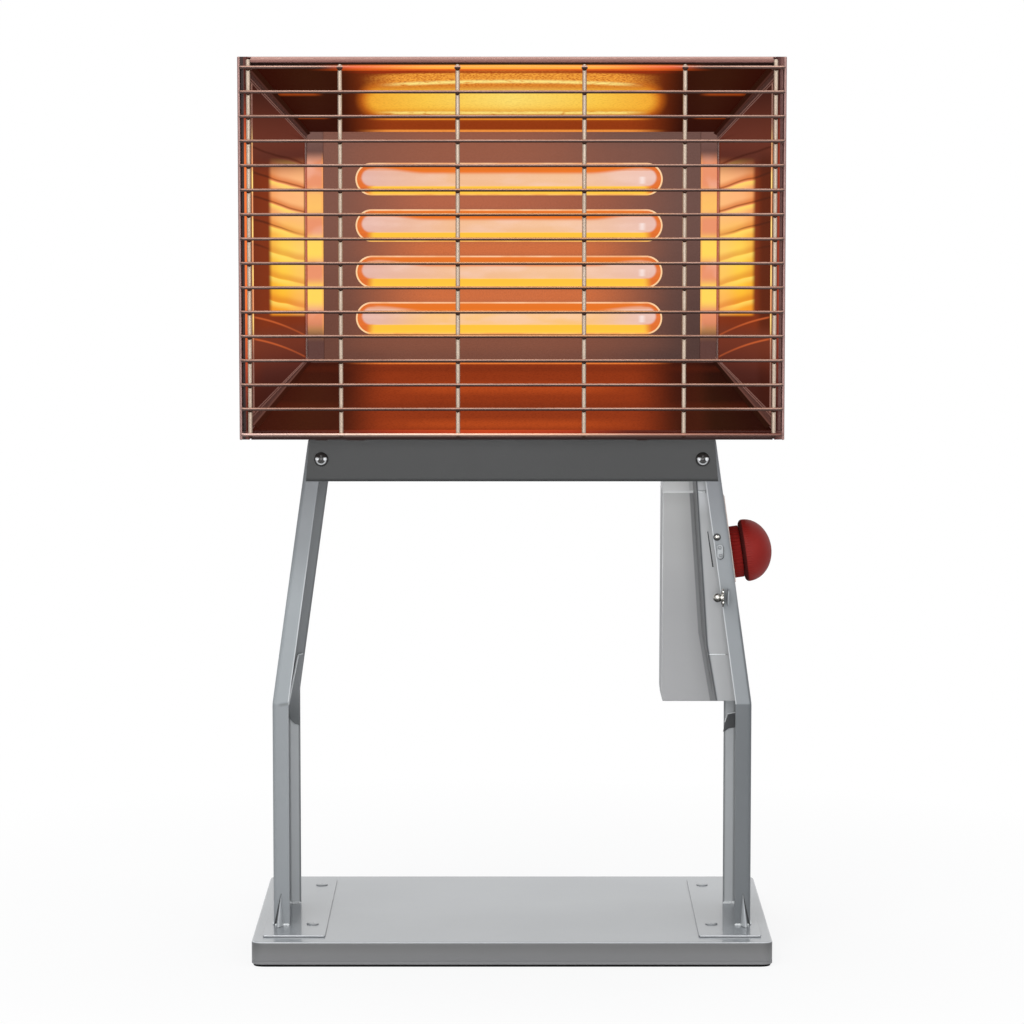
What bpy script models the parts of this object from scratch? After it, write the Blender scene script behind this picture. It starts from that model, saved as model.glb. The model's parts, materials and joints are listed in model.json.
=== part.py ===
"""Radiant heater: a tilting head with four heating elements on a bent-leg steel stand.

Metres, +Z up, and the front faces -Y. The origin is on the floor under the middle of the base.
"""

import math

import bmesh
import bpy
from mathutils import Euler, Matrix, Vector

# Clearances
FIT = 0.0003
BORE_PLAY = 0.0003
CUT_OVERRUN = 0.004
WELD_SINK = 0.0005
MERGE = 0.00001

# Base
BASE_WIDTH = 0.383
BASE_DEPTH = 0.250
BASE_TRAY_HEIGHT = 0.0152
BASE_SHEET = 0.0016
BASE_CORNER_RADIUS = 0.007
BASE_EDGE_RADIUS = 0.0025
BASE_MAT_HEIGHT = 0.003
BASE_MAT_INSET = 0.0012

# Foot plates and their screws
FOOT_PLATE_WIDTH = 0.046
FOOT_PLATE_END = 0.018
FOOT_PLATE_SHEET = 0.0012
FOOT_PLATE_EDGE = 0.0075
FOOT_SCREW_INSET = 0.011
FOOT_SCREW_FRONT_INSET = 0.040
FOOT_SCREW_REAR_INSET = 0.025
FOOT_SCREW_HEAD = 0.009
FOOT_SCREW_HEAD_HEIGHT = 0.0014
FOOT_SCREW_SHANK = 0.004
FOOT_SCREW_LENGTH = 0.006

# Legs
LEG_SHEET = 0.0016
LEG_EDGE = 0.0135
LEG_LEAN = 0.0275
LEG_LOWER_HEIGHT = 0.1667
LEG_UPPER_HEIGHT = 0.196
LEG_SETBACK = 0.035
LEG_DEPTH = 0.083
FRONT_FLANGE = 0.012
REAR_FLANGE = 0.0165
LUG_HEIGHT = 0.0255
LUG_MARGIN = 0.0072
LUG_TAPER = 0.0025
LEG_RELIEF_HEIGHT = 0.021
LEG_TAB_DEPTH = 0.027

# Leg gussets over the bend, and foot gussets
GUSSET_BELOW = 0.037
GUSSET_ABOVE = 0.0245
GUSSET_EDGE_INSET = 0.001
FOOT_GUSSET_HEIGHT = 0.024
FOOT_GUSSET_REACH = 0.009
FOOT_GUSSET_TOP = 0.0005
FOOT_GUSSET_INSET = 0.0062
FOOT_GUSSET_WIDTH_SHARE = 0.42

# Front cross plate and its screws
CROSS_HEIGHT = 0.0315
CROSS_ABOVE_LEG = 0.0015
CROSS_SHEET = 0.0015
CROSS_TOP_INSET = 0.0011
CROSS_LOW_INSET = 0.0026
CROSS_SHELF_GAP = 0.0007
CROSS_UPSTAND = 0.0075
CROSS_SCREW_INSET = 0.0118
CROSS_SCREW_DROP = 0.0134
CROSS_SCREW_HEAD = 0.0106
CROSS_SCREW_DOME = 0.0038
CROSS_SCREW_SHANK = 0.0044
CROSS_SCREW_LENGTH = 0.007

# Tilt joint
PIVOT_SETBACK = 0.032
PIVOT_DROP = 0.0184
EAR_INSET = 0.0207
EAR_SHEET = 0.002
EAR_RADIUS = 0.007
EAR_FOOT = 0.012
BRACKET_TOP_WIDTH = 0.014
BRACKET_DEPTH = 0.024
PIVOT_SHANK = 0.0044
PIVOT_HEAD = 0.009
PIVOT_HEAD_HEIGHT = 0.003
PIVOT_TAIL = 0.003

# Switch housing on the right leg, its wall's distances past the rear flange's edge
HOUSING_SHEET = 0.001
HOUSING_SETBACK = 0.015
HOUSING_TOP_GAP = 0.001
HOUSING_KNEE_RISE = 0.0423
HOUSING_SEAM_DROP = 0.0073
HOUSING_TOP_SPREAD = 0.0019
HOUSING_KNEE_SPREAD = 0.0109
HOUSING_LOW_SPREAD = 0.0094

# Control box
BOX_SHEET = 0.001
BOX_WIDTH = 0.062
BOX_BELOW_BEND = 0.0105
BOX_DEPTH = 0.045
BOX_RIGHT_INSET = 0.003
BOX_CHAMFER_X = 0.0018
BOX_CHAMFER_Z = 0.012
TERMINAL_BLOCK_WIDTH = 0.020
TERMINAL_BLOCK_DEPTH = 0.016
TERMINAL_BLOCK_HEIGHT = 0.030
TERMINAL_BLOCK_DROP = 0.052
TIP_SWITCH_WIDTH = 0.020
TIP_SWITCH_DEPTH = 0.022
TIP_SWITCH_HEIGHT = 0.024
TIP_SWITCH_RISE = 0.0535
GLAND_INSET = 0.017
GLAND_BACK_INSET = 0.0098
GLAND_FLANGE = 0.018
GLAND_BARREL = 0.012
GLAND_BORE = 0.0075
GLAND_FLANGE_HEIGHT = 0.003
GLAND_BARREL_HEIGHT = 0.012

# Rotary switch, dial plate and knob, on an axis square to the leg's web
KNOB_DROP = 0.0875
KNOB_COLLAR_DIAMETER = 0.0372
KNOB_COLLAR_LENGTH = 0.0066
KNOB_COLLAR_FACE = 0.0021
KNOB_RIBS = 40
KNOB_RIB_DEPTH = 0.0005
KNOB_DOME_DIAMETER = 0.0458
KNOB_RIM_LENGTH = 0.0045
KNOB_DOME_DEPTH = 0.0184
DIAL_WIDTH = 0.056
DIAL_ABOVE = 0.0455
DIAL_BELOW = 0.0195
DIAL_SHEET = 0.0008
DIAL_CORNER = 0.003
SWITCH_WALL_GAP = 0.0035
SWITCH_BACK_WALL = 0.007
SWITCH_WIDTH = 0.032
SWITCH_HEIGHT = 0.030
SWITCH_BUSH = 0.0094
SHAFT_DIAMETER = 0.006

# Small hardware on the right leg's front flange, placed from the leg's top and the flange's edge
RIVET_DROP = 0.0713
RIVET_EDGE = 0.003
RIVET_HEAD = 0.0047
RIVET_DOME = 0.0016
RIVET_SHANK = 0.0026
RIVET_LENGTH = 0.003
CLIP_DROP = 0.082
CLIP_EDGE = 0.0038
CLIP_WIDTH = 0.005
CLIP_HEIGHT = 0.011
CLIP_SHEET = 0.0010
CLIP_NUB = 0.003
CLIP_NUB_DROP = 0.0028
EARTH_DROP = 0.1155
EARTH_EDGE = 0.0005
EARTH_WASHER = 0.0136
EARTH_WASHER_SHEET = 0.0012
EARTH_TEETH = 12
EARTH_TOOTH_DEPTH = 0.0009
EARTH_BALL = 0.0068
EARTH_SHANK = 0.003
EARTH_TAB_SHEET = 0.0012
EARTH_TAB_HEIGHT = 0.012

# Heating elements, their holders and the trough behind them
ELEMENT_DIAMETER = 0.012
ELEMENT_CAP_WALL = 0.0007
ELEMENT_CAP_LENGTH = 0.010
ELEMENT_SEAT_DEPTH = 0.0065
ELEMENT_FRONT_GAP = 0.005
HOLDER_SETBACK = 0.0028
HOLDER_THICKNESS = 0.010
HOLDER_BEHIND = 0.0126
TROUGH_GAP = 0.0052
TROUGH_LIP = 0.0028
TROUGH_SHEET = 0.0006
CUTOUT_DIAMETER = 0.016
CUTOUT_HEIGHT = 0.008
CUTOUT_FLANGE = 0.022
CUTOUT_FLANGE_SHEET = 0.0012

# Slotted plate and reflectors, built outward from the elements
SLOT_COUNT = 4
SLOT_LENGTH = 0.2274
SLOT_MARGIN = 0.0002
SLOT_BAR = 0.0117
SLOT_CENTRE_X = -0.0022
PLATE_SHEET = 0.001
PLATE_SIDE_EDGE = 0.0266
PLATE_LOW_EDGE = 0.02195
PLATE_HIGH_EDGE = 0.02355
PLATE_LAP = 0.001
SIDE_STRIP_WIDTH = 0.0129
REFLECTOR_SHEET = 0.0008
REFLECTOR_CORNER_GAP = 0.0012
CORNER_STRIP_FRONT = 0.0055
CORNER_STRIP_REAR = 0.0035
FUNNEL_SPREAD = 0.0375
FUNNEL_LOW_RISE = 0.0436
FUNNEL_HIGH_RISE = 0.0483
FUNNEL_DEPTH = 0.090

# Head frame, casing and rear cover
HEAD_GAP = 0.0029
HEAD_REACH = 0.073
HEAD_BEHIND = 0.039
FRAME_DEPTH = 0.010
POST_WIDTH = 0.0073
TOP_RAIL_HEIGHT = 0.0068
LOW_RAIL_HEIGHT = 0.0065
FRAME_EDGE_RADIUS = 0.0012
RAIL_EDGE_RADIUS = 0.0022
CASING_SHEET = 0.001
REAR_COVER_SHEET = 0.001
VENT_LENGTH = 0.060
VENT_HEIGHT = 0.005
VENT_PITCH = 0.012
VENT_ROWS = 5
VENT_CENTRE_X = 0.075
VENT_DROP = 0.0644

# Guard
GUARD_ROWS = 16
GUARD_ROW_DIAMETER = 0.0024
GUARD_ROW_END = 0.0025
GUARD_ROW_LOW_EDGE = 0.0051
GUARD_ROW_HIGH_EDGE = 0.0077
GUARD_COLUMN_DIAMETER = 0.0032
GUARD_COLUMN_END = 0.0018
GUARD_COLUMN_OVERLAP = 0.0016
GUARD_COLUMN_EDGE = 0.008
GUARD_COLUMN_SHARES = (-1.0, -0.6525, -0.2063, 0.2747, 0.6562, 1.0)

# Sides on turned pieces, and steps on an arc
ROUND = 20
FINE_ROUND = 32
ARC_STEPS = 8

ROUND_SHARE = 0.5
RIGHT_ANGLE = math.pi / 2

# Places of the stand, from the floor up
BASE_TOP = BASE_MAT_HEIGHT + FIT + BASE_TRAY_HEIGHT
FOOT_TOP = BASE_TOP + FIT + FOOT_PLATE_SHEET
FOOT_PLATE_LENGTH = BASE_DEPTH - 2 * FOOT_PLATE_END
FOOT_PLATE_OUTER_X = BASE_WIDTH / 2 - FOOT_PLATE_EDGE
FOOT_PLATE_INNER_X = FOOT_PLATE_OUTER_X - FOOT_PLATE_WIDTH
FOOT_SCREW_X = FOOT_PLATE_INNER_X + FOOT_SCREW_INSET
FOOT_SCREW_FRONT_Y = -FOOT_PLATE_LENGTH / 2 + FOOT_SCREW_FRONT_INSET
FOOT_SCREW_REAR_Y = FOOT_PLATE_LENGTH / 2 - FOOT_SCREW_REAR_INSET
LEG_FOOT_X = BASE_WIDTH / 2 - LEG_EDGE
LEG_LOW_Z = FOOT_TOP + FIT
LEG_BEND_Z = LEG_LOW_Z + LEG_LOWER_HEIGHT
LEG_TOP_Z = LEG_BEND_Z + LEG_UPPER_HEIGHT
LEG_FRONT_Y = -FOOT_PLATE_LENGTH / 2 + LEG_SETBACK
LEG_REAR_Y = LEG_FRONT_Y + LEG_DEPTH
LEG_SLOPE_SHARE = LEG_LEAN / LEG_UPPER_HEIGHT
LEG_TILT = math.atan(LEG_SLOPE_SHARE)


def leg_x(z):
    """The outer face of the leg at a height."""
    return LEG_FOOT_X - max(0.0, z - LEG_BEND_Z) * LEG_SLOPE_SHARE


CROSS_HIGH_Z = LEG_TOP_Z + CROSS_ABOVE_LEG
CROSS_LOW_Z = CROSS_HIGH_Z - CROSS_HEIGHT
CROSS_SCREW_Z = LEG_TOP_Z - CROSS_SCREW_DROP
CROSS_SCREW_X = leg_x(CROSS_SCREW_Z) - CROSS_SCREW_INSET
CROSS_SHELF_HALF = leg_x(CROSS_LOW_Z) - max(FRONT_FLANGE, REAR_FLANGE) - CROSS_SHELF_GAP
LUG_FLANGE = CROSS_SCREW_INSET + LUG_MARGIN
LUG_LOW_Z = LEG_TOP_Z - LUG_HEIGHT
SHELF_TOP = CROSS_LOW_Z + CROSS_SHEET / 2 + CROSS_SHEET
EAR_X = CROSS_SHELF_HALF - EAR_INSET

HOUSING_FRONT_Y = LEG_FRONT_Y + HOUSING_SETBACK
HOUSING_TOP_Z = CROSS_LOW_Z - HOUSING_TOP_GAP
HOUSING_KNEE_Z = LEG_BEND_Z + HOUSING_KNEE_RISE
HOUSING_SEAM_Z = HOUSING_KNEE_Z - HOUSING_SEAM_DROP
HOUSING_LOW_Z = LEG_BEND_Z + FIT


def housing_x(z):
    """The inner wall of the switch housing at a height, straight above its knee and straight below it."""
    knee = leg_x(HOUSING_KNEE_Z) - REAR_FLANGE - HOUSING_KNEE_SPREAD
    if z >= HOUSING_KNEE_Z:
        end_z = HOUSING_TOP_Z
        end = leg_x(end_z) - REAR_FLANGE - HOUSING_TOP_SPREAD
    else:
        end_z = HOUSING_LOW_Z
        end = leg_x(end_z) - REAR_FLANGE - HOUSING_LOW_SPREAD
    return knee + (end - knee) * (z - HOUSING_KNEE_Z) / (end_z - HOUSING_KNEE_Z)


BOX_FRONT_Y = LEG_REAR_Y + FIT
BOX_BACK_Y = BOX_FRONT_Y + BOX_DEPTH
BOX_LEFT_X = LEG_FOOT_X - BOX_RIGHT_INSET - BOX_WIDTH
BOX_LOW_Z = LEG_BEND_Z - BOX_BELOW_BEND
BOX_HIGH_Z = HOUSING_TOP_Z
GLAND_X = BOX_LEFT_X + GLAND_INSET
GLAND_Y = BOX_BACK_Y - GLAND_BACK_INSET

KNOB_Z = LEG_TOP_Z - KNOB_DROP
KNOB_Y = LEG_FRONT_Y + LEG_DEPTH / 2
KNOB_FACE = FIT + DIAL_SHEET + FIT
SWITCH_ROOM = (leg_x(KNOB_Z) - housing_x(KNOB_Z)) * math.cos(LEG_TILT)
SWITCH_DEPTH = SWITCH_ROOM - LEG_SHEET - FIT - SWITCH_WALL_GAP
SHAFT_IN_SWITCH = SWITCH_DEPTH - SWITCH_BACK_WALL
SHAFT_IN_KNOB = KNOB_COLLAR_LENGTH - KNOB_COLLAR_FACE

RIVET_Z = LEG_TOP_Z - RIVET_DROP
RIVET_X = leg_x(RIVET_Z) - FRONT_FLANGE + RIVET_EDGE
CLIP_Z = LEG_TOP_Z - CLIP_DROP
CLIP_X = leg_x(CLIP_Z) - FRONT_FLANGE + CLIP_EDGE
EARTH_Z = LEG_TOP_Z - EARTH_DROP
EARTH_WASHER_X = leg_x(EARTH_Z) - FRONT_FLANGE + EARTH_EDGE
EARTH_Y = LEG_FRONT_Y - FIT - EARTH_WASHER / 2

# Places of the head, from its elements outward and its pivot forward and back
TROUGH_RADIUS = ELEMENT_DIAMETER / 2 + TROUGH_GAP
HOLDER_MARGIN = TROUGH_RADIUS + TROUGH_LIP
HOLDER_INNER = SLOT_LENGTH / 2 + HOLDER_SETBACK
SLOT_HEIGHT = 2 * (TROUGH_RADIUS + SLOT_MARGIN)
SLOT_PITCH = SLOT_HEIGHT + SLOT_BAR
PLATE_HALF_WIDTH = SLOT_LENGTH / 2 + PLATE_SIDE_EDGE
PLATE_HEIGHT = PLATE_LOW_EDGE + SLOT_HEIGHT + (SLOT_COUNT - 1) * SLOT_PITCH + PLATE_HIGH_EDGE
FUNNEL_REAR_HALF = PLATE_HALF_WIDTH + SIDE_STRIP_WIDTH
OPENING_HALF = FUNNEL_REAR_HALF + FUNNEL_SPREAD
HEAD_HALF_WIDTH = OPENING_HALF + POST_WIDTH
HEAD_LOW_Z = CROSS_HIGH_Z + HEAD_GAP
OPENING_LOW = HEAD_LOW_Z + LOW_RAIL_HEIGHT
PLATE_LOW_Z = OPENING_LOW + FUNNEL_LOW_RISE
PLATE_HIGH_Z = PLATE_LOW_Z + PLATE_HEIGHT
OPENING_HIGH = PLATE_HIGH_Z + FUNNEL_HIGH_RISE
HEAD_HIGH_Z = OPENING_HIGH + TOP_RAIL_HEIGHT
PIVOT_Y = LEG_FRONT_Y + PIVOT_SETBACK
PIVOT_Z = HEAD_LOW_Z - PIVOT_DROP
HEAD_FRONT_Y = PIVOT_Y - HEAD_REACH
FRAME_BACK_Y = HEAD_FRONT_Y + FRAME_DEPTH
PLATE_Y = HEAD_FRONT_Y + FUNNEL_DEPTH
FUNNEL_FRONT_Y = FRAME_BACK_Y + FIT
FUNNEL_REAR_Y = PLATE_Y - FIT - REFLECTOR_SHEET
ELEMENT_Y = PLATE_Y + PLATE_SHEET + ELEMENT_FRONT_GAP + ELEMENT_DIAMETER / 2
HEAD_BACK_Y = ELEMENT_Y + HEAD_BEHIND


def new_collection(name):
    collection = bpy.data.collections.new(name)
    bpy.context.scene.collection.children.link(collection)
    return collection


def clear_scene():
    for obj in list(bpy.data.objects):
        bpy.data.objects.remove(obj, do_unlink=True)


def material(name, colour, roughness, metallic):
    found = bpy.data.materials.get(name)
    if found:
        return found
    made = bpy.data.materials.new(name)
    made.use_nodes = True
    shader = made.node_tree.nodes["Principled BSDF"]
    shader.inputs["Base Color"].default_value = (*colour, 1.0)
    shader.inputs["Roughness"].default_value = roughness
    shader.inputs["Metallic"].default_value = metallic
    return made


def grey_paint():
    return material("grey_paint", (0.36, 0.38, 0.39), 0.38, 0.0)


def dark_grey_paint():
    return material("dark_grey_paint", (0.10, 0.10, 0.10), 0.42, 0.0)


def copper_paint():
    return material("copper_brown_paint", (0.16, 0.07, 0.06), 0.35, 0.6)


def reflector_metal():
    return material("reflector_metal", (0.45, 0.28, 0.20), 0.22, 1.0)


def plate_metal():
    return material("slot_plate_metal", (0.22, 0.12, 0.09), 0.35, 0.8)


def wire_nickel():
    return material("nickel_wire", (0.62, 0.55, 0.47), 0.25, 1.0)


def chrome():
    return material("chrome", (0.75, 0.75, 0.75), 0.12, 1.0)


def zinc_steel():
    return material("zinc_steel", (0.55, 0.55, 0.53), 0.35, 1.0)


def galvanised():
    return material("galvanised_sheet", (0.50, 0.50, 0.50), 0.45, 1.0)


def red_plastic():
    return material("red_plastic", (0.33, 0.015, 0.012), 0.35, 0.0)


def black_rubber():
    return material("black_rubber", (0.012, 0.012, 0.012), 0.7, 0.0)


def black_plastic():
    return material("black_plastic", (0.02, 0.02, 0.02), 0.45, 0.0)


def dial_plastic():
    return material("dial_plastic", (0.78, 0.70, 0.66), 0.4, 0.0)


def white_ceramic():
    return material("white_ceramic", (0.80, 0.77, 0.70), 0.5, 0.0)


def element_ceramic():
    return material("element_ceramic", (0.90, 0.55, 0.35), 0.3, 0.0)


def new_object(name, mesh, finish, collection=None):
    obj = bpy.data.objects.new(name, mesh)
    obj.data.materials.append(finish)
    (collection or PARTS).objects.link(obj)
    return obj


def mesh_from(name, bm):
    bmesh.ops.recalc_face_normals(bm, faces=bm.faces)
    mesh = bpy.data.meshes.new(name)
    bm.to_mesh(mesh)
    bm.free()
    return mesh


def smooth(obj, degrees=35):
    obj.data.shade_smooth()
    obj.data.set_sharp_from_angle(angle=math.radians(degrees))
    return obj


def round_edges(bm, edges, radius, segments):
    bmesh.ops.bevel(bm, geom=edges, offset=radius, segments=segments, affect="EDGES", profile=ROUND_SHARE)


def box(name, low, high, finish, edge_radius=0.0, segments=2):
    """A box between two corners, its long edges rounded when a radius is given."""
    low, high = Vector(low), Vector(high)
    bm = bmesh.new()
    bmesh.ops.create_cube(bm, size=1.0)
    bmesh.ops.scale(bm, vec=high - low, verts=bm.verts)
    if edge_radius:
        round_edges(bm, list(bm.edges), edge_radius, segments)
    obj = new_object(name, mesh_from(name, bm), finish)
    obj.location = (low + high) / 2
    return smooth(obj) if edge_radius else obj


def curve_to_mesh(curve_obj):
    """The curve as a welded mesh object at the same place."""
    bpy.context.view_layer.update()
    graph = bpy.context.evaluated_depsgraph_get()
    mesh = bpy.data.meshes.new_from_object(curve_obj.evaluated_get(graph))
    bm = bmesh.new()
    bm.from_mesh(mesh)
    bmesh.ops.remove_doubles(bm, verts=bm.verts, dist=MERGE)
    bmesh.ops.recalc_face_normals(bm, faces=bm.faces)
    bm.to_mesh(mesh)
    bm.free()
    name = curve_obj.name
    finish = curve_obj.data.materials[0]
    matrix = curve_obj.matrix_world.copy()
    bpy.data.objects.remove(curve_obj, do_unlink=True)
    mesh.materials.clear()
    obj = new_object(name, mesh, finish)
    obj.matrix_world = matrix
    return obj


def add_spline(curve, points, cyclic):
    spline = curve.splines.new("POLY")
    spline.points.add(len(points) - 1)
    for target, point in zip(spline.points, points):
        target.co = (*point, *(0.0,) * (3 - len(point)), 1.0)
    spline.use_cyclic_u = cyclic


def flat(name, outlines, thickness, place, finish, plane="XZ"):
    """A flat plate from outlines, a rim and then its holes. The place is at half its thickness."""
    curve = bpy.data.curves.new(name, "CURVE")
    curve.dimensions = "2D"
    curve.fill_mode = "BOTH"
    curve.extrude = thickness / 2
    for outline in outlines:
        add_spline(curve, outline, True)
    curve.materials.append(finish)
    obj = bpy.data.objects.new(name, curve)
    PARTS.objects.link(obj)
    turns = {"XZ": (RIGHT_ANGLE, 0.0, 0.0), "YZ": (RIGHT_ANGLE, 0.0, RIGHT_ANGLE), "XY": (0.0, 0.0, 0.0)}
    obj.rotation_euler = turns[plane]
    obj.location = place
    return curve_to_mesh(obj)


def wires(name, paths, radius, finish):
    """Round wires along straight or bent paths, in one mesh."""
    curve = bpy.data.curves.new(name, "CURVE")
    curve.dimensions = "3D"
    curve.bevel_depth = radius
    curve.bevel_resolution = 1
    curve.use_fill_caps = True
    for path in paths:
        add_spline(curve, path, False)
    curve.materials.append(finish)
    obj = bpy.data.objects.new(name, curve)
    PARTS.objects.link(obj)
    return smooth(curve_to_mesh(obj), 60)


def sheet(name, rows, thickness, finish, offset=-1.0):
    """Sheet metal: an open surface through rows of points, given a thickness."""
    bm = bmesh.new()
    grid = [[bm.verts.new(point) for point in row] for row in rows]
    for upper, lower in zip(grid, grid[1:]):
        for left in range(len(upper) - 1):
            bm.faces.new((upper[left], upper[left + 1], lower[left + 1], lower[left]))
    mesh = bpy.data.meshes.new(name)
    bm.to_mesh(mesh)
    bm.free()
    obj = new_object(name, mesh, finish)
    solidify(obj, thickness, offset)
    return obj


def solidify(obj, thickness, offset):
    modifier = obj.modifiers.new("sheet", "SOLIDIFY")
    modifier.thickness = thickness
    modifier.offset = offset
    modifier.use_even_offset = True
    modifier.use_quality_normals = True


def turned(name, profile, place, finish, axis="Z", steps=ROUND):
    """A turned piece: (radius, height) points down its outer side, from the top to the bottom."""
    bm = bmesh.new()
    verts = [bm.verts.new((radius, 0.0, height)) for radius, height in profile]
    for first, second in zip(verts, verts[1:]):
        bm.edges.new((first, second))
    mesh = bpy.data.meshes.new(name)
    bm.to_mesh(mesh)
    bm.free()
    obj = new_object(name, mesh, finish)
    screw = obj.modifiers.new("turn", "SCREW")
    screw.axis = "Z"
    screw.steps = steps
    screw.render_steps = steps
    screw.use_merge_vertices = True
    screw.merge_threshold = MERGE
    screw.use_smooth_shade = True
    turns = {
        "Z": (0.0, 0.0, 0.0),
        "X": (0.0, RIGHT_ANGLE, 0.0),
        "-X": (0.0, -RIGHT_ANGLE, 0.0),
        "-Y": (RIGHT_ANGLE, 0.0, 0.0),
        "Y": (-RIGHT_ANGLE, 0.0, 0.0),
    }
    obj.rotation_euler = turns[axis]
    obj.location = place
    return obj


def rod(name, radius, length, place, finish, axis="Z", steps=ROUND):
    """A cylinder centred on the place."""
    half = length / 2
    profile = [(0.0, half), (radius, half), (radius, -half), (0.0, -half)]
    return turned(name, profile, place, finish, axis, steps)


def hide_away(obj):
    """Makes an object a Boolean operand only."""
    for collection in list(obj.users_collection):
        collection.objects.unlink(obj)
    CUTTERS.objects.link(obj)
    obj.hide_render = True
    obj.display_type = "WIRE"


def combine(obj, other, operation):
    modifier = obj.modifiers.new(other.name, "BOOLEAN")
    modifier.operation = operation
    modifier.solver = "EXACT"
    modifier.object = other
    hide_away(other)
    return obj


def cut(obj, cutter):
    return combine(obj, cutter, "DIFFERENCE")


def fuse(obj, other):
    return combine(obj, other, "UNION")


def ride(obj, carrier):
    """Parents an object to an empty without moving it."""
    obj.parent = carrier
    obj.matrix_parent_inverse = carrier_matrix(carrier).inverted()
    return obj


def carrier_matrix(carrier):
    return Matrix.Translation(carrier.location) @ carrier.rotation_euler.to_matrix().to_4x4()


def seat(obj, carrier):
    """Parents an object to an empty and reads its place in the empty's own axes."""
    obj.parent = carrier
    return obj


def empty(name, place, turn=(0.0, 0.0, 0.0)):
    made = bpy.data.objects.new(name, None)
    made.location = place
    made.rotation_euler = Euler(turn)
    PARTS.objects.link(made)
    return made


def arc(centre, radius, start, end, steps=ARC_STEPS):
    """Points on an arc, angles in radians."""
    angles = [start + (end - start) * step / steps for step in range(steps + 1)]
    return [(centre[0] + radius * math.cos(a), centre[1] + radius * math.sin(a)) for a in angles]


def circle(centre, radius, steps=ROUND):
    return arc(centre, radius, 0.0, 2 * math.pi * (steps - 1) / steps, steps - 1)


def rectangle(low, high):
    return [low, (high[0], low[1]), high, (low[0], high[1])]


def rounded_rectangle(low, high, radius, steps=4):
    (x0, y0), (x1, y1) = low, high
    left, right = x0 + radius, x1 - radius
    low_y, high_y = y0 + radius, y1 - radius
    centres = [(right, low_y), (right, high_y), (left, high_y), (left, low_y)]
    points = []
    for index, centre in enumerate(centres):
        start = (index - 1) * RIGHT_ANGLE
        points += arc(centre, radius, start, start + RIGHT_ANGLE, steps)
    return points


def stadium(centre, length, height):
    """A slot with round ends."""
    radius = height / 2
    reach = length / 2 - radius
    right = arc((centre[0] + reach, centre[1]), radius, -RIGHT_ANGLE, RIGHT_ANGLE)
    left = arc((centre[0] - reach, centre[1]), radius, RIGHT_ANGLE, 3 * RIGHT_ANGLE)
    return right + left


def dome(radius, depth, steps=5):
    """Profile points of a dome from its tip down to its rim."""
    angles = [RIGHT_ANGLE * (1 - step / steps) for step in range(steps + 1)]
    return [(radius * math.cos(a) if a < RIGHT_ANGLE else 0.0, depth * math.sin(a)) for a in angles]


def screw_profile(head, head_height, shank, length):
    """A dome head over a shank; the head's seat is at height 0."""
    return [*dome(head / 2, head_height), (shank / 2, 0.0), (shank / 2, -length), (0.0, -length)]


def rounded_box(name, size, corner_radius, edge_radius, finish):
    """A box with rounded upright corners and rounded top edges, open underneath. It stands on its origin."""
    bm = bmesh.new()
    bmesh.ops.create_cube(bm, size=1.0)
    bmesh.ops.scale(bm, vec=size, verts=bm.verts)
    bmesh.ops.translate(bm, vec=(0.0, 0.0, size[2] / 2), verts=bm.verts)
    upright = [e for e in bm.edges if abs(e.verts[0].co.z - e.verts[1].co.z) > size[2] / 2]
    round_edges(bm, upright, corner_radius, 5)
    top = [e for e in bm.edges if min(v.co.z for v in e.verts) > size[2] - MERGE]
    round_edges(bm, top, edge_radius, 3)
    floor = [f for f in bm.faces if max(v.co.z for v in f.verts) < MERGE]
    bmesh.ops.delete(bm, geom=floor, context="FACES_ONLY")
    return smooth(new_object(name, mesh_from(name, bm), finish))


def base_plate():
    size = (BASE_WIDTH, BASE_DEPTH, BASE_TRAY_HEIGHT)
    tray = rounded_box("base_plate", size, BASE_CORNER_RADIUS, BASE_EDGE_RADIUS, grey_paint())
    tray.location = (0.0, 0.0, BASE_MAT_HEIGHT + FIT)
    solidify(tray, BASE_SHEET, -1.0)
    for name, x, y in foot_screw_places():
        radius = FOOT_SCREW_SHANK / 2 + BORE_PLAY
        cut(tray, rod(f"{name}_hole", radius, 2 * CUT_OVERRUN, (x, y, BASE_TOP), grey_paint(), steps=12))
    return tray


def base_rubber_mat():
    half_width = BASE_WIDTH / 2 - BASE_MAT_INSET
    half_depth = BASE_DEPTH / 2 - BASE_MAT_INSET
    outline = rounded_rectangle((-half_width, -half_depth), (half_width, half_depth), BASE_CORNER_RADIUS)
    place = (0.0, 0.0, BASE_MAT_HEIGHT / 2)
    return flat("base_rubber_mat", [outline], BASE_MAT_HEIGHT, place, black_rubber(), "XY")


def sides():
    return (("left", -1), ("right", 1))


def foot_screw_places():
    places = []
    for side, sign in sides():
        places.append((f"{side}_foot_screw_front", sign * FOOT_SCREW_X, FOOT_SCREW_FRONT_Y))
        places.append((f"{side}_foot_screw_rear", sign * FOOT_SCREW_X, FOOT_SCREW_REAR_Y))
    return places


def foot_plate(side, sign):
    inner = sign * FOOT_PLATE_INNER_X
    outer = sign * FOOT_PLATE_OUTER_X
    half_length = FOOT_PLATE_LENGTH / 2
    rim = rectangle((min(inner, outer), -half_length), (max(inner, outer), half_length))
    radius = FOOT_SCREW_SHANK / 2 + BORE_PLAY
    holes = [circle((x, y), radius, 12) for name, x, y in foot_screw_places() if name.startswith(side)]
    place = (0.0, 0.0, FOOT_TOP - FOOT_PLATE_SHEET / 2)
    return flat(f"{side}_foot_plate", [rim, *holes], FOOT_PLATE_SHEET, place, grey_paint(), "XY")


def foot_screws():
    profile = screw_profile(FOOT_SCREW_HEAD, FOOT_SCREW_HEAD_HEIGHT, FOOT_SCREW_SHANK, FOOT_SCREW_LENGTH)
    for name, x, y in foot_screw_places():
        turned(name, profile, (x, y, FOOT_TOP + FIT), zinc_steel(), steps=12)


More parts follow.
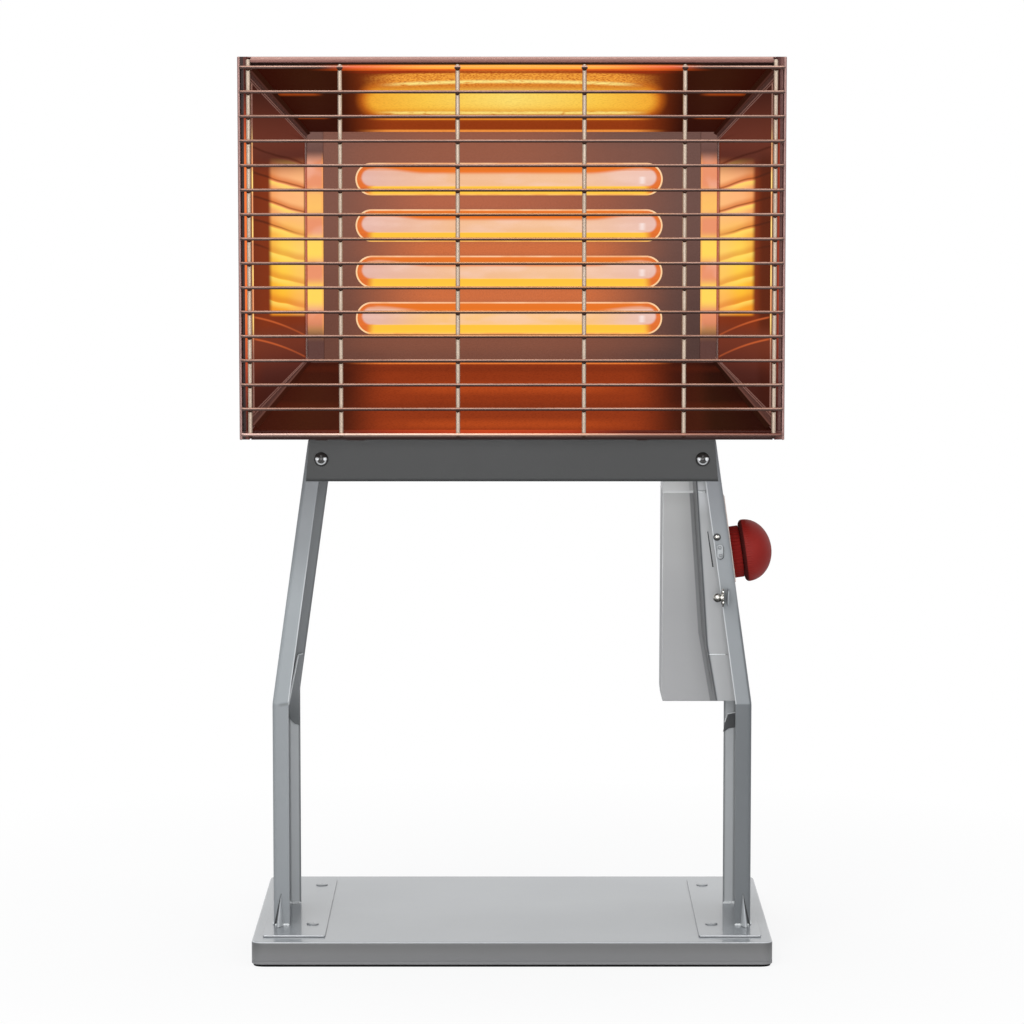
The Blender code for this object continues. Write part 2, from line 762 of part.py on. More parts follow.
def leg_rows(sign):
    """The channel's section at five heights: front flange edge, two corners, rear flange edge."""
    stations = [
        (LEG_LOW_Z, FRONT_FLANGE),
        (LEG_BEND_Z, FRONT_FLANGE),
        (LUG_LOW_Z, FRONT_FLANGE),
        (LUG_LOW_Z + LUG_TAPER, LUG_FLANGE),
        (LEG_TOP_Z, LUG_FLANGE),
    ]
    rows = []
    for z, flange in stations:
        x = leg_x(z)
        section = [
            (sign * (x - flange), LEG_FRONT_Y, z),
            (sign * x, LEG_FRONT_Y, z),
            (sign * x, LEG_REAR_Y, z),
            (sign * (x - REAR_FLANGE), LEG_REAR_Y, z),
        ]
        rows.append(section)
    return rows


def leg(side, sign):
    body = sheet(f"{side}_leg", leg_rows(sign), LEG_SHEET, grey_paint(), float(-sign))
    reach = sign * LEG_FOOT_X
    relief_low = (min(0.0, reach), LEG_FRONT_Y + LEG_TAB_DEPTH, LEG_TOP_Z - LEG_RELIEF_HEIGHT)
    relief_high = (max(0.0, reach), LEG_REAR_Y + CUT_OVERRUN, LEG_TOP_Z + CUT_OVERRUN)
    cut(body, box(f"{side}_leg_relief", relief_low, relief_high, grey_paint()))
    place = (sign * CROSS_SCREW_X, LEG_FRONT_Y, CROSS_SCREW_Z)
    radius = CROSS_SCREW_SHANK / 2 + BORE_PLAY
    cut(body, rod(f"{side}_leg_screw_hole", radius, 2 * CUT_OVERRUN, place, chrome(), "Y"))
    return body


def leg_gusset():
    """The plate welded over the left leg's bend, on the front of its rear flange."""
    y = LEG_REAR_Y - LEG_SHEET - FIT - LEG_SHEET / 2
    near = LEG_SHEET + FIT
    far = REAR_FLANGE - GUSSET_EDGE_INSET
    heights = [LEG_BEND_Z - GUSSET_BELOW, LEG_BEND_Z, LEG_BEND_Z + GUSSET_ABOVE]
    outer = [(-(leg_x(z) - near), z) for z in heights]
    inner = [(-(leg_x(z) - far), z) for z in reversed(heights)]
    return flat("left_leg_gusset", [outer + inner], LEG_SHEET, (0.0, y, 0.0), grey_paint())


def foot_gusset(side, sign):
    """A small three-sided rib pressed against the front flange, on the foot plate."""
    bm = bmesh.new()
    bmesh.ops.create_cone(
        bm,
        cap_ends=True,
        segments=4,
        radius1=FOOT_GUSSET_REACH,
        radius2=FOOT_GUSSET_TOP,
        depth=FOOT_GUSSET_HEIGHT,
    )
    bmesh.ops.scale(bm, vec=(FOOT_GUSSET_WIDTH_SHARE, 1.0, 1.0), verts=bm.verts)
    whole = bm.verts[:] + bm.edges[:] + bm.faces[:]
    kept = bmesh.ops.bisect_plane(bm, geom=whole, plane_no=(0.0, 1.0, 0.0), clear_outer=True)
    rim = [element for element in kept["geom_cut"] if isinstance(element, bmesh.types.BMEdge)]
    bmesh.ops.edgeloop_fill(bm, edges=rim)
    rib = new_object(f"{side}_foot_gusset", mesh_from(side, bm), grey_paint())
    z = LEG_LOW_Z + FOOT_GUSSET_HEIGHT / 2
    rib.location = (sign * (LEG_FOOT_X - FOOT_GUSSET_INSET), LEG_FRONT_Y - FIT, z)
    return rib


def front_cross_plate():
    """The dark plate across both legs, folded back underneath into a shelf with an upstand."""
    y = LEG_FRONT_Y - FIT
    top = leg_x(CROSS_HIGH_Z) - CROSS_TOP_INSET
    low = leg_x(CROSS_LOW_Z) - CROSS_LOW_INSET
    rim = [(-low, CROSS_LOW_Z), (low, CROSS_LOW_Z), (top, CROSS_HIGH_Z), (-top, CROSS_HIGH_Z)]
    radius = CROSS_SCREW_SHANK / 2 + BORE_PLAY
    holes = [circle((sign * CROSS_SCREW_X, CROSS_SCREW_Z), radius, 12) for _, sign in sides()]
    place = (0.0, y - CROSS_SHEET / 2, 0.0)
    plate = flat("front_cross_plate", [rim, *holes], CROSS_SHEET, place, dark_grey_paint())
    rear = LEG_REAR_Y - LEG_SHEET - FIT - CROSS_SHEET
    floor = CROSS_LOW_Z + CROSS_SHEET / 2
    profile = [(y - CROSS_SHEET / 2, floor), (rear, floor), (rear, floor + CROSS_UPSTAND)]
    rows = [[(-CROSS_SHELF_HALF, py, pz), (CROSS_SHELF_HALF, py, pz)] for py, pz in profile]
    return fuse(plate, sheet("cross_shelf", rows, CROSS_SHEET, dark_grey_paint(), 1.0))


def cross_plate_screws():
    profile = screw_profile(CROSS_SCREW_HEAD, CROSS_SCREW_DOME, CROSS_SCREW_SHANK, CROSS_SCREW_LENGTH)
    y = LEG_FRONT_Y - FIT - CROSS_SHEET - FIT
    for side, sign in sides():
        place = (sign * CROSS_SCREW_X, y, CROSS_SCREW_Z)
        turned(f"{side}_cross_plate_screw", profile, place, chrome(), "-Y")


def pivot_hole():
    return circle((PIVOT_Y, PIVOT_Z), PIVOT_SHANK / 2 + BORE_PLAY, 12)


def tilt_ear(side, sign):
    """An upright ear on the cross plate's shelf, round at the top about the pivot."""
    low = SHELF_TOP + FIT
    crown = arc((PIVOT_Y, PIVOT_Z), EAR_RADIUS, 0.0, math.pi)
    rim = [(PIVOT_Y - EAR_RADIUS, low), (PIVOT_Y + EAR_RADIUS, low), *crown]
    x = sign * (EAR_X + EAR_SHEET / 2)
    ear = flat(f"{side}_tilt_ear", [rim, pivot_hole()], EAR_SHEET, (x, 0.0, 0.0), zinc_steel(), "YZ")
    near = sign * (EAR_X + EAR_SHEET / 2)
    far = sign * (EAR_X + EAR_FOOT)
    foot_low = (min(near, far), PIVOT_Y - EAR_RADIUS - WELD_SINK, low)
    foot_high = (max(near, far), PIVOT_Y + EAR_RADIUS + WELD_SINK, low + EAR_SHEET)
    return fuse(ear, box(f"{side}_ear_foot", foot_low, foot_high, zinc_steel()))


def head_bracket(side, sign):
    """A bracket under the head, round at the bottom about the pivot."""
    high = HEAD_LOW_Z - FIT
    outer = EAR_X - FIT
    crown = arc((PIVOT_Y, PIVOT_Z), EAR_RADIUS, math.pi, 2 * math.pi)
    rim = [(PIVOT_Y + EAR_RADIUS, high), (PIVOT_Y - EAR_RADIUS, high), *crown]
    x = sign * (outer - EAR_SHEET / 2)
    bracket = flat(f"{side}_head_bracket", [rim, pivot_hole()], EAR_SHEET, (x, 0.0, 0.0), zinc_steel(), "YZ")
    near = sign * (outer - EAR_SHEET / 2)
    far = sign * (outer - BRACKET_TOP_WIDTH)
    top_low = (min(near, far), PIVOT_Y - BRACKET_DEPTH / 2, high - EAR_SHEET)
    top_high = (max(near, far), PIVOT_Y + BRACKET_DEPTH / 2, high)
    return fuse(bracket, box(f"{side}_bracket_top", top_low, top_high, zinc_steel()))


def pivot_bolt(side, sign):
    seat_x = EAR_X - 2 * FIT - EAR_SHEET
    length = 2 * EAR_SHEET + 2 * FIT + PIVOT_TAIL
    profile = screw_profile(PIVOT_HEAD, PIVOT_HEAD_HEIGHT, PIVOT_SHANK, length)
    axis = "-X" if sign > 0 else "X"
    return turned(f"{side}_pivot_bolt", profile, (sign * seat_x, PIVOT_Y, PIVOT_Z), zinc_steel(), axis)


def housing_sheet(name, heights):
    """A folded cover in the right leg's channel: a front strip, and a wall back to the control box."""
    rows = []
    for z in heights:
        web = leg_x(z) - LEG_SHEET / math.cos(LEG_TILT) - FIT
        wall = housing_x(z)
        section = [(web, HOUSING_FRONT_Y, z), (wall, HOUSING_FRONT_Y, z), (wall, LEG_REAR_Y, z)]
        rows.append(section)
    return sheet(name, rows, HOUSING_SHEET, grey_paint(), 1.0)


def switch_housing():
    return housing_sheet("switch_housing", [HOUSING_SEAM_Z + FIT, HOUSING_KNEE_Z, HOUSING_TOP_Z])


def right_leg_gusset():
    """The lower part of the cover, which bridges the right leg's bend."""
    return housing_sheet("right_leg_gusset", [HOUSING_LOW_Z, HOUSING_SEAM_Z])


def box_outline(inset):
    """The control box's outline from the front, drawn in by an inset."""
    left = BOX_LEFT_X + inset
    low = BOX_LOW_Z + inset
    high = BOX_HIGH_Z - inset
    trim = BOX_RIGHT_INSET + inset
    return [
        (left + BOX_CHAMFER_X, low),
        (leg_x(low) - trim, low),
        (leg_x(LEG_BEND_Z) - trim, LEG_BEND_Z),
        (leg_x(high) - trim, high),
        (left, high),
        (left, low + BOX_CHAMFER_Z),
    ]


def control_box_body():
    """A pan with its closed face to the front, fixed behind the right leg."""
    middle = (BOX_FRONT_Y + BOX_BACK_Y) / 2
    pan = flat("control_box_body", [box_outline(0.0)], BOX_DEPTH, (0.0, middle, 0.0), grey_paint())
    hollow_depth = BOX_DEPTH - BOX_SHEET + CUT_OVERRUN
    hollow_middle = BOX_FRONT_Y + BOX_SHEET + hollow_depth / 2
    hollow = [box_outline(BOX_SHEET)]
    cut(pan, flat("control_box_hollow", hollow, hollow_depth, (0.0, hollow_middle, 0.0), grey_paint()))
    radius = GLAND_BARREL / 2 + BORE_PLAY
    return cut(pan, rod("gland_hole", radius, 2 * CUT_OVERRUN, (GLAND_X, GLAND_Y, BOX_LOW_Z), grey_paint()))


def control_box_cover():
    y = BOX_BACK_Y + FIT + BOX_SHEET / 2
    return flat("control_box_cover", [box_outline(0.0)], BOX_SHEET, (0.0, y, 0.0), grey_paint())


def module_in_box(name, size, z, finish):
    """A block seated on the inside of the control box's front."""
    x = BOX_LEFT_X + BOX_SHEET + FIT
    y = BOX_FRONT_Y + BOX_SHEET + FIT
    low = (x, y, z - size[2] / 2)
    high = (x + size[0], y + size[1], z + size[2] / 2)
    return box(name, low, high, finish)


def cable_gland():
    """A flanged bush under the control box, with a clear bore."""
    bore = GLAND_BORE / 2
    barrel = GLAND_BARREL / 2
    flange = GLAND_FLANGE / 2
    profile = [
        (bore, GLAND_BARREL_HEIGHT),
        (barrel, GLAND_BARREL_HEIGHT),
        (barrel, 0.0),
        (flange, 0.0),
        (flange, -GLAND_FLANGE_HEIGHT),
        (bore, -GLAND_FLANGE_HEIGHT),
        (bore, GLAND_BARREL_HEIGHT),
    ]
    place = (GLAND_X, GLAND_Y, BOX_LOW_Z - FIT)
    return turned("cable_gland", profile, place, black_plastic())


def dial_plate(carrier):
    """A thin plate on the outside of the leg's web, square to the knob's axis."""
    half = DIAL_WIDTH / 2
    rim = rounded_rectangle((-DIAL_ABOVE, -half), (DIAL_BELOW, half), DIAL_CORNER)
    hole = circle((0.0, 0.0), SWITCH_BUSH / 2 + BORE_PLAY)
    place = (0.0, 0.0, FIT + DIAL_SHEET / 2)
    return seat(flat("dial_plate", [rim, hole], DIAL_SHEET, place, dial_plastic(), "XY"), carrier)


def rotary_switch(carrier):
    """The switch block inside the leg, with a threaded bush through the web and the dial plate."""
    top = -LEG_SHEET - FIT
    low = (-SWITCH_HEIGHT / 2, -SWITCH_WIDTH / 2, top - SWITCH_DEPTH)
    high = (SWITCH_HEIGHT / 2, SWITCH_WIDTH / 2, top)
    block = seat(box("rotary_switch", low, high, black_plastic()), carrier)
    bush_low = top - WELD_SINK
    bush_high = FIT + DIAL_SHEET
    bush_length = bush_high - bush_low
    middle = (bush_low + bush_high) / 2
    bush = rod("switch_bush", SWITCH_BUSH / 2, bush_length, (0.0, 0.0, middle), zinc_steel())
    fuse(block, seat(bush, carrier))
    bore_low = -SHAFT_IN_SWITCH - LEG_SHEET - FIT - FIT
    bore_length = bush_high + CUT_OVERRUN - bore_low
    bore_middle = bore_low + bore_length / 2
    radius = SHAFT_DIAMETER / 2 + BORE_PLAY
    bore = rod("switch_bore", radius, bore_length, (0.0, 0.0, bore_middle), zinc_steel())
    return cut(block, seat(bore, carrier))


def web_bore(carrier, right_leg):
    bore = rod("web_bore", SWITCH_BUSH / 2 + BORE_PLAY, 2 * CUT_OVERRUN, (0.0, 0.0, 0.0), grey_paint())
    cut(right_leg, seat(bore, carrier))


def switch_shaft(carrier):
    low = -SHAFT_IN_SWITCH - LEG_SHEET - FIT
    high = KNOB_FACE + SHAFT_IN_KNOB
    place = (0.0, 0.0, (low + high) / 2)
    return seat(rod("switch_shaft", SHAFT_DIAMETER / 2, high - low, place, zinc_steel()), carrier)


def knob_collar(carrier):
    """A ribbed ring with a blind bore for the shaft."""
    points = []
    for rib in range(KNOB_RIBS):
        for part in range(2):
            radius = KNOB_COLLAR_DIAMETER / 2 - part * KNOB_RIB_DEPTH
            angle = 2 * math.pi * (rib + part / 2) / KNOB_RIBS
            points.append((radius * math.cos(angle), radius * math.sin(angle)))
    place = (0.0, 0.0, KNOB_FACE + KNOB_COLLAR_LENGTH / 2)
    collar = seat(flat("knob_collar", [points], KNOB_COLLAR_LENGTH, place, red_plastic(), "XY"), carrier)
    depth = SHAFT_IN_KNOB + FIT + CUT_OVERRUN
    bore_place = (0.0, 0.0, KNOB_FACE + SHAFT_IN_KNOB + FIT - depth / 2)
    bore = rod("collar_bore", SHAFT_DIAMETER / 2 + BORE_PLAY, depth, bore_place, red_plastic())
    return cut(collar, seat(bore, carrier))


def knob_dome(carrier):
    radius = KNOB_DOME_DIAMETER / 2
    low = KNOB_FACE + KNOB_COLLAR_LENGTH + FIT
    rim_top = low + KNOB_RIM_LENGTH
    cap = [(r, rim_top + h) for r, h in dome(radius, KNOB_DOME_DEPTH, 9)]
    profile = [*cap, (radius, low), (0.0, low)]
    return seat(turned("knob_dome", profile, (0.0, 0.0, 0.0), red_plastic(), steps=FINE_ROUND), carrier)


def leg_rivet(right_leg):
    profile = screw_profile(RIVET_HEAD, RIVET_DOME, RIVET_SHANK, RIVET_LENGTH)
    turned("leg_rivet", profile, (RIVET_X, LEG_FRONT_Y - FIT, RIVET_Z), zinc_steel(), "-Y", 12)
    place = (RIVET_X, LEG_FRONT_Y, RIVET_Z)
    hole = rod("rivet_hole", RIVET_SHANK / 2 + BORE_PLAY, 2 * CUT_OVERRUN, place, zinc_steel(), "Y", 12)
    cut(right_leg, hole)


def leg_clip():
    """An oval clip with a nub, flat on the front flange."""
    outline = stadium((0.0, 0.0), CLIP_HEIGHT, CLIP_WIDTH)
    upright = [(CLIP_X - y, CLIP_Z + x) for x, y in outline]
    y = LEG_FRONT_Y - FIT - CLIP_SHEET / 2
    clip = flat("leg_clip", [upright], CLIP_SHEET, (0.0, y, 0.0), zinc_steel())
    place = (CLIP_X, y - CLIP_SHEET / 2, CLIP_Z - CLIP_NUB_DROP)
    return fuse(clip, rod("clip_nub", CLIP_NUB / 2, CLIP_SHEET, place, zinc_steel(), "Y", 10))


def star(centre, radius, tooth, teeth):
    points = []
    for index in range(2 * teeth):
        reach = radius - tooth * (index % 2)
        angle = math.pi * index / teeth
        points.append((centre[0] + reach * math.cos(angle), centre[1] + reach * math.sin(angle)))
    return points


def earth_screw():
    """A ball-headed screw with its toothed washer, along X in front of the flange."""
    washer_place = (EARTH_WASHER_X + EARTH_WASHER_SHEET / 2, 0.0, 0.0)
    teeth = star((EARTH_Y, EARTH_Z), EARTH_WASHER / 2, EARTH_TOOTH_DEPTH, EARTH_TEETH)
    washer = flat("earth_screw", [teeth], EARTH_WASHER_SHEET, washer_place, zinc_steel(), "YZ")
    radius = EARTH_BALL / 2
    tail = EARTH_WASHER_SHEET + EARTH_TAB_SHEET + 2 * FIT + WELD_SINK
    profile = [
        *[(r, h + radius) for r, h in dome(radius, radius)],
        (radius, WELD_SINK),
        (radius, -WELD_SINK),
        (EARTH_SHANK / 2, -WELD_SINK),
        (EARTH_SHANK / 2, -tail),
        (0.0, -tail),
    ]
    ball = turned("earth_ball", profile, (EARTH_WASHER_X, EARTH_Y, EARTH_Z), zinc_steel(), "-X", 16)
    return fuse(washer, ball)


def earth_tab(right_leg):
    """The tab lanced out of the front flange that takes the earth screw."""
    x = EARTH_WASHER_X + EARTH_WASHER_SHEET + FIT + EARTH_TAB_SHEET / 2
    low = (EARTH_Y - EARTH_TAB_HEIGHT / 2, EARTH_Z - EARTH_TAB_HEIGHT / 2)
    high = (LEG_FRONT_Y + WELD_SINK, EARTH_Z + EARTH_TAB_HEIGHT / 2)
    hole = circle((EARTH_Y, EARTH_Z), EARTH_SHANK / 2 + BORE_PLAY, 12)
    outlines = [rectangle(low, high), hole]
    fuse(right_leg, flat("earth_tab", outlines, EARTH_TAB_SHEET, (x, 0.0, 0.0), grey_paint(), "YZ"))


def frame_post(side, sign):
    inner = sign * OPENING_HALF
    outer = sign * HEAD_HALF_WIDTH
    low = (min(inner, outer), HEAD_FRONT_Y, HEAD_LOW_Z)
    high = (max(inner, outer), FRAME_BACK_Y, HEAD_HIGH_Z)
    return box(f"{side}_frame_post", low, high, copper_paint(), FRAME_EDGE_RADIUS)


def frame_rail(name, low_z, high_z):
    reach = OPENING_HALF - FIT
    low = (-reach, HEAD_FRONT_Y, low_z)
    high = (reach, FRAME_BACK_Y, high_z)
    return box(name, low, high, copper_paint(), RAIL_EDGE_RADIUS, 3)


def head_casing():
    """A sheet sleeve behind the frame, open to the front and the back."""
    low = Vector((-HEAD_HALF_WIDTH, FRAME_BACK_Y + FIT, HEAD_LOW_Z))
    high = Vector((HEAD_HALF_WIDTH, HEAD_BACK_Y, HEAD_HIGH_Z))
    sleeve = box("head_casing", low, high, copper_paint())
    bm = bmesh.new()
    bm.from_mesh(sleeve.data)
    ends = [face for face in bm.faces if round(abs(face.normal.y)) == 1]
    bmesh.ops.delete(bm, geom=ends, context="FACES_ONLY")
    bm.to_mesh(sleeve.data)
    bm.free()
    solidify(sleeve, CASING_SHEET, -1.0)
    return sleeve


def vents():
    """Two columns of louvre slots in the rear cover."""
    slots = []
    for _, sign in sides():
        for row in range(VENT_ROWS):
            z = HEAD_HIGH_Z - VENT_DROP + (row - (VENT_ROWS - 1) / 2) * VENT_PITCH
            slots.append(stadium((sign * VENT_CENTRE_X, z), VENT_LENGTH, VENT_HEIGHT))
    return slots


def rear_cover():
    rim = rectangle((-HEAD_HALF_WIDTH, HEAD_LOW_Z), (HEAD_HALF_WIDTH, HEAD_HIGH_Z))
    y = HEAD_BACK_Y + FIT + REAR_COVER_SHEET / 2
    return flat("rear_cover", [rim, *vents()], REAR_COVER_SHEET, (0.0, y, 0.0), copper_paint())


def funnel_corners():
    """The funnel's inner corners, front then rear, for each of the four corner lines."""
    levels = (("low", OPENING_LOW, PLATE_LOW_Z), ("high", OPENING_HIGH, PLATE_HIGH_Z))
    corners = {}
    for side, sign in sides():
        for level, front_z, rear_z in levels:
            front = Vector((sign * OPENING_HALF, FUNNEL_FRONT_Y, front_z))
            rear = Vector((sign * FUNNEL_REAR_HALF, FUNNEL_REAR_Y, rear_z))
            corners[side, level] = (front, rear)
    return corners


def reflector(name, first, second, outward):
    """A flat trapezoid between two corner lines, kept back from both, its thickness outward."""
    along = (second[0] - first[0]).normalized() * REFLECTOR_CORNER_GAP
    rows = [[first[0] + along, second[0] - along], [first[1] + along, second[1] - along]]
    return sheet(name, rows, REFLECTOR_SHEET, reflector_metal(), outward)


def corner_strip(side, level, corners, outward):
    """The dark strip down a corner of the funnel, from the side reflector towards the top or bottom one."""
    sign = 1 if side == "right" else -1
    rise = -1 if level == "high" else 1
    front, rear = corners[side, level]
    rows = []
    for point, width in ((front, CORNER_STRIP_FRONT), (rear, CORNER_STRIP_REAR)):
        on_side = point + Vector((sign * WELD_SINK, 0.0, rise * width))
        on_top = point + Vector((-sign * width, 0.0, rise * 2 * WELD_SINK))
        rows.append([on_side, on_top])
    return sheet(f"{side}_{level}_corner_strip", rows, REFLECTOR_SHEET / 2, plate_metal(), outward)


def reflectors():
    corners = funnel_corners()
    top = reflector("top_reflector", corners["left", "high"], corners["right", "high"], 1.0)
    bottom = reflector("bottom_reflector", corners["left", "low"], corners["right", "low"], -1.0)
    left = reflector("left_reflector", corners["left", "low"], corners["left", "high"], 1.0)
    right = reflector("right_reflector", corners["right", "low"], corners["right", "high"], -1.0)
    fuse(left, corner_strip("left", "low", corners, -1.0))
    fuse(left, corner_strip("left", "high", corners, 1.0))
    fuse(right, corner_strip("right", "low", corners, 1.0))
    fuse(right, corner_strip("right", "high", corners, -1.0))
    return [top, bottom, left, right]


def slot_heights():
    lowest = PLATE_LOW_Z + PLATE_LOW_EDGE + SLOT_HEIGHT / 2
    return [lowest + row * SLOT_PITCH for row in range(SLOT_COUNT)]


def slot_plate():
    low = (-PLATE_HALF_WIDTH, PLATE_LOW_Z - PLATE_LAP)
    high = (PLATE_HALF_WIDTH, PLATE_HIGH_Z + PLATE_LAP)
    slots = [stadium((SLOT_CENTRE_X, z), SLOT_LENGTH, SLOT_HEIGHT) for z in slot_heights()]
    y = PLATE_Y + PLATE_SHEET / 2
    return flat("slot_plate", [rectangle(low, high), *slots], PLATE_SHEET, (0.0, y, 0.0), plate_metal())


def side_strip(side, sign):
    inner = sign * (PLATE_HALF_WIDTH + FIT)
    outer = sign * (FUNNEL_REAR_HALF + PLATE_LAP)
    low = (min(inner, outer), PLATE_Y, PLATE_LOW_Z - PLATE_LAP)
    high = (max(inner, outer), PLATE_Y + PLATE_SHEET, PLATE_HIGH_Z + PLATE_LAP)
    return box(f"{side}_side_strip", low, high, reflector_metal())


def heating_element(number, z):
    """A tube with a ceramic cap at each end, along X."""
    half = HOLDER_INNER + ELEMENT_SEAT_DEPTH
    tube = ELEMENT_DIAMETER / 2
    cap = tube + ELEMENT_CAP_WALL
    shoulder = half - ELEMENT_CAP_LENGTH
    profile = [
        (0.0, half),
        (cap, half),
        (cap, shoulder),
        (tube, shoulder),
        (tube, -shoulder),
        (cap, -shoulder),
        (cap, -half),
        (0.0, -half),
    ]
    place = (SLOT_CENTRE_X, ELEMENT_Y, z)
    return turned(f"heating_element_{number}", profile, place, element_ceramic(), "X", 16)


def element_holder(side, sign):
    """A ceramic bar across the ends of all four elements, with a bore for each cap."""
    front = PLATE_Y + PLATE_SHEET + FIT
    heights = slot_heights()
    back = ELEMENT_Y + HOLDER_BEHIND
    rim = rectangle((front, heights[0] - HOLDER_MARGIN), (back, heights[-1] + HOLDER_MARGIN))
    radius = ELEMENT_DIAMETER / 2 + ELEMENT_CAP_WALL + BORE_PLAY
    bores = [circle((ELEMENT_Y, z), radius, 16) for z in heights]
    x = SLOT_CENTRE_X + sign * (HOLDER_INNER + HOLDER_THICKNESS / 2)
    name = f"{side}_element_holder"
    return flat(name, [rim, *bores], HOLDER_THICKNESS, (x, 0.0, 0.0), white_ceramic(), "YZ")


def trough_path():
    """The trough reflector's section: a flat between elements and a deep round behind each one."""
    front = PLATE_Y + PLATE_SHEET + FIT + TROUGH_SHEET / 2
    heights = slot_heights()
    path = [(front, heights[0] - HOLDER_MARGIN)]
    for z in heights:
        path.append((front, z - TROUGH_RADIUS))
        path += arc((ELEMENT_Y, z), TROUGH_RADIUS, -RIGHT_ANGLE, RIGHT_ANGLE, 10)
        path.append((front, z + TROUGH_RADIUS))
    path.append((front, heights[-1] + HOLDER_MARGIN))
    return path


def trough_reflector():
    left = SLOT_CENTRE_X - HOLDER_INNER + FIT
    right = SLOT_CENTRE_X + HOLDER_INNER - FIT
    rows = [[(left, y, z), (right, y, z)] for y, z in trough_path()]
    return sheet("trough_reflector", rows, TROUGH_SHEET, galvanised(), 0.0)


def thermal_cutout():
    """A round cutout with a flange, on the back of the trough behind an element."""
    y = ELEMENT_Y + TROUGH_RADIUS + TROUGH_SHEET / 2 + FIT
    top = CUTOUT_FLANGE_SHEET + CUTOUT_HEIGHT
    profile = [
        (0.0, top),
        (CUTOUT_DIAMETER / 2, top),
        (CUTOUT_DIAMETER / 2, CUTOUT_FLANGE_SHEET),
        (CUTOUT_FLANGE / 2, CUTOUT_FLANGE_SHEET),
        (CUTOUT_FLANGE / 2, 0.0),
        (0.0, 0.0),
    ]
    return turned("thermal_cutout", profile, (0.0, y, slot_heights()[-1]), zinc_steel(), "Y")


def wire_guard():
    """Sixteen wires across, in front of six uprights. The outer uprights reach past the last wires across."""
    column_radius = GUARD_COLUMN_DIAMETER / 2
    row_radius = GUARD_ROW_DIAMETER / 2
    column_y = HEAD_FRONT_Y - FIT - column_radius
    row_y = column_y - column_radius - row_radius + WELD_SINK
    lowest = HEAD_LOW_Z + GUARD_ROW_LOW_EDGE
    highest = HEAD_HIGH_Z - GUARD_ROW_HIGH_EDGE
    reach = HEAD_HALF_WIDTH - GUARD_ROW_END
    across = []
    for row in range(GUARD_ROWS):
        z = lowest + (highest - lowest) * row / (GUARD_ROWS - 1)
        across.append([(-reach, row_y, z), (reach, row_y, z)])
    up = []
    for share in GUARD_COLUMN_SHARES:
        x = share * (HEAD_HALF_WIDTH - GUARD_COLUMN_EDGE)
        low = lowest - GUARD_COLUMN_OVERLAP
        high = highest + GUARD_COLUMN_OVERLAP
        if share in (GUARD_COLUMN_SHARES[0], GUARD_COLUMN_SHARES[-1]):
            low = HEAD_LOW_Z + GUARD_COLUMN_END
            high = HEAD_HIGH_Z - GUARD_COLUMN_END
        up.append([(x, column_y, low), (x, column_y, high)])
    guard = wires("wire_guard", across, row_radius, wire_nickel())
    return fuse(guard, wires("guard_uprights", up, column_radius, wire_nickel()))


def build_stand():
    base_rubber_mat()
    base_plate()
    foot_screws()
    legs = {}
    for side, sign in sides():
        foot_plate(side, sign)
        legs[side] = leg(side, sign)
        foot_gusset(side, sign)
        tilt_ear(side, sign)
        pivot_bolt(side, sign)
    leg_gusset()
    front_cross_plate()
    cross_plate_screws()
    leg_rivet(legs["right"])
    leg_clip()
    earth_tab(legs["right"])
    earth_screw()
    return legs


def build_controls(right_leg):
    switch_housing()
    right_leg_gusset()
    control_box_body()
    control_box_cover()
    block = (TERMINAL_BLOCK_WIDTH, TERMINAL_BLOCK_DEPTH, TERMINAL_BLOCK_HEIGHT)
    module_in_box("terminal_block", block, BOX_HIGH_Z - TERMINAL_BLOCK_DROP, white_ceramic())
    tip_switch = (TIP_SWITCH_WIDTH, TIP_SWITCH_DEPTH, TIP_SWITCH_HEIGHT)
    module_in_box("tip_over_switch", tip_switch, BOX_LOW_Z + TIP_SWITCH_RISE, black_plastic())
    cable_gland()
    place = (leg_x(KNOB_Z), KNOB_Y, KNOB_Z)
    turn = (0.0, RIGHT_ANGLE - LEG_TILT, 0.0)
    switch_seat = empty("switch_seat", place, turn)
    dial_plate(switch_seat)
    rotary_switch(switch_seat)
    web_bore(switch_seat, right_leg)
    knob_axis = empty("knob_axis", place, turn)
    switch_shaft(knob_axis)
    knob_collar(knob_axis)
    knob_dome(knob_axis)


def build_head():
    tilt_axis = empty("tilt_axis", (0.0, PIVOT_Y, PIVOT_Z))
    pieces = [head_casing(), rear_cover(), slot_plate(), wire_guard()]
    pieces += [trough_reflector(), thermal_cutout()]
    pieces.append(frame_rail("top_frame_rail", OPENING_HIGH, HEAD_HIGH_Z))
    pieces.append(frame_rail("bottom_frame_rail", HEAD_LOW_Z, OPENING_LOW))
    pieces += reflectors()
    for side, sign in sides():
        pieces.append(frame_post(side, sign))
        pieces.append(side_strip(side, sign))
        pieces.append(element_holder(side, sign))
        pieces.append(head_bracket(side, sign))
    for number, z in enumerate(reversed(slot_heights()), start=1):
        pieces.append(heating_element(number, z))
    for piece in pieces:
        ride(piece, tilt_axis)


clear_scene()
PARTS = new_collection("radiant_heater")
CUTTERS = new_collection("cutters")
build_controls(build_stand()["right"])
build_head()
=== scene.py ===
"""The looks of the radiant heater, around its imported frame. Metres, +Z up, and the front faces -Y."""

import json
import math

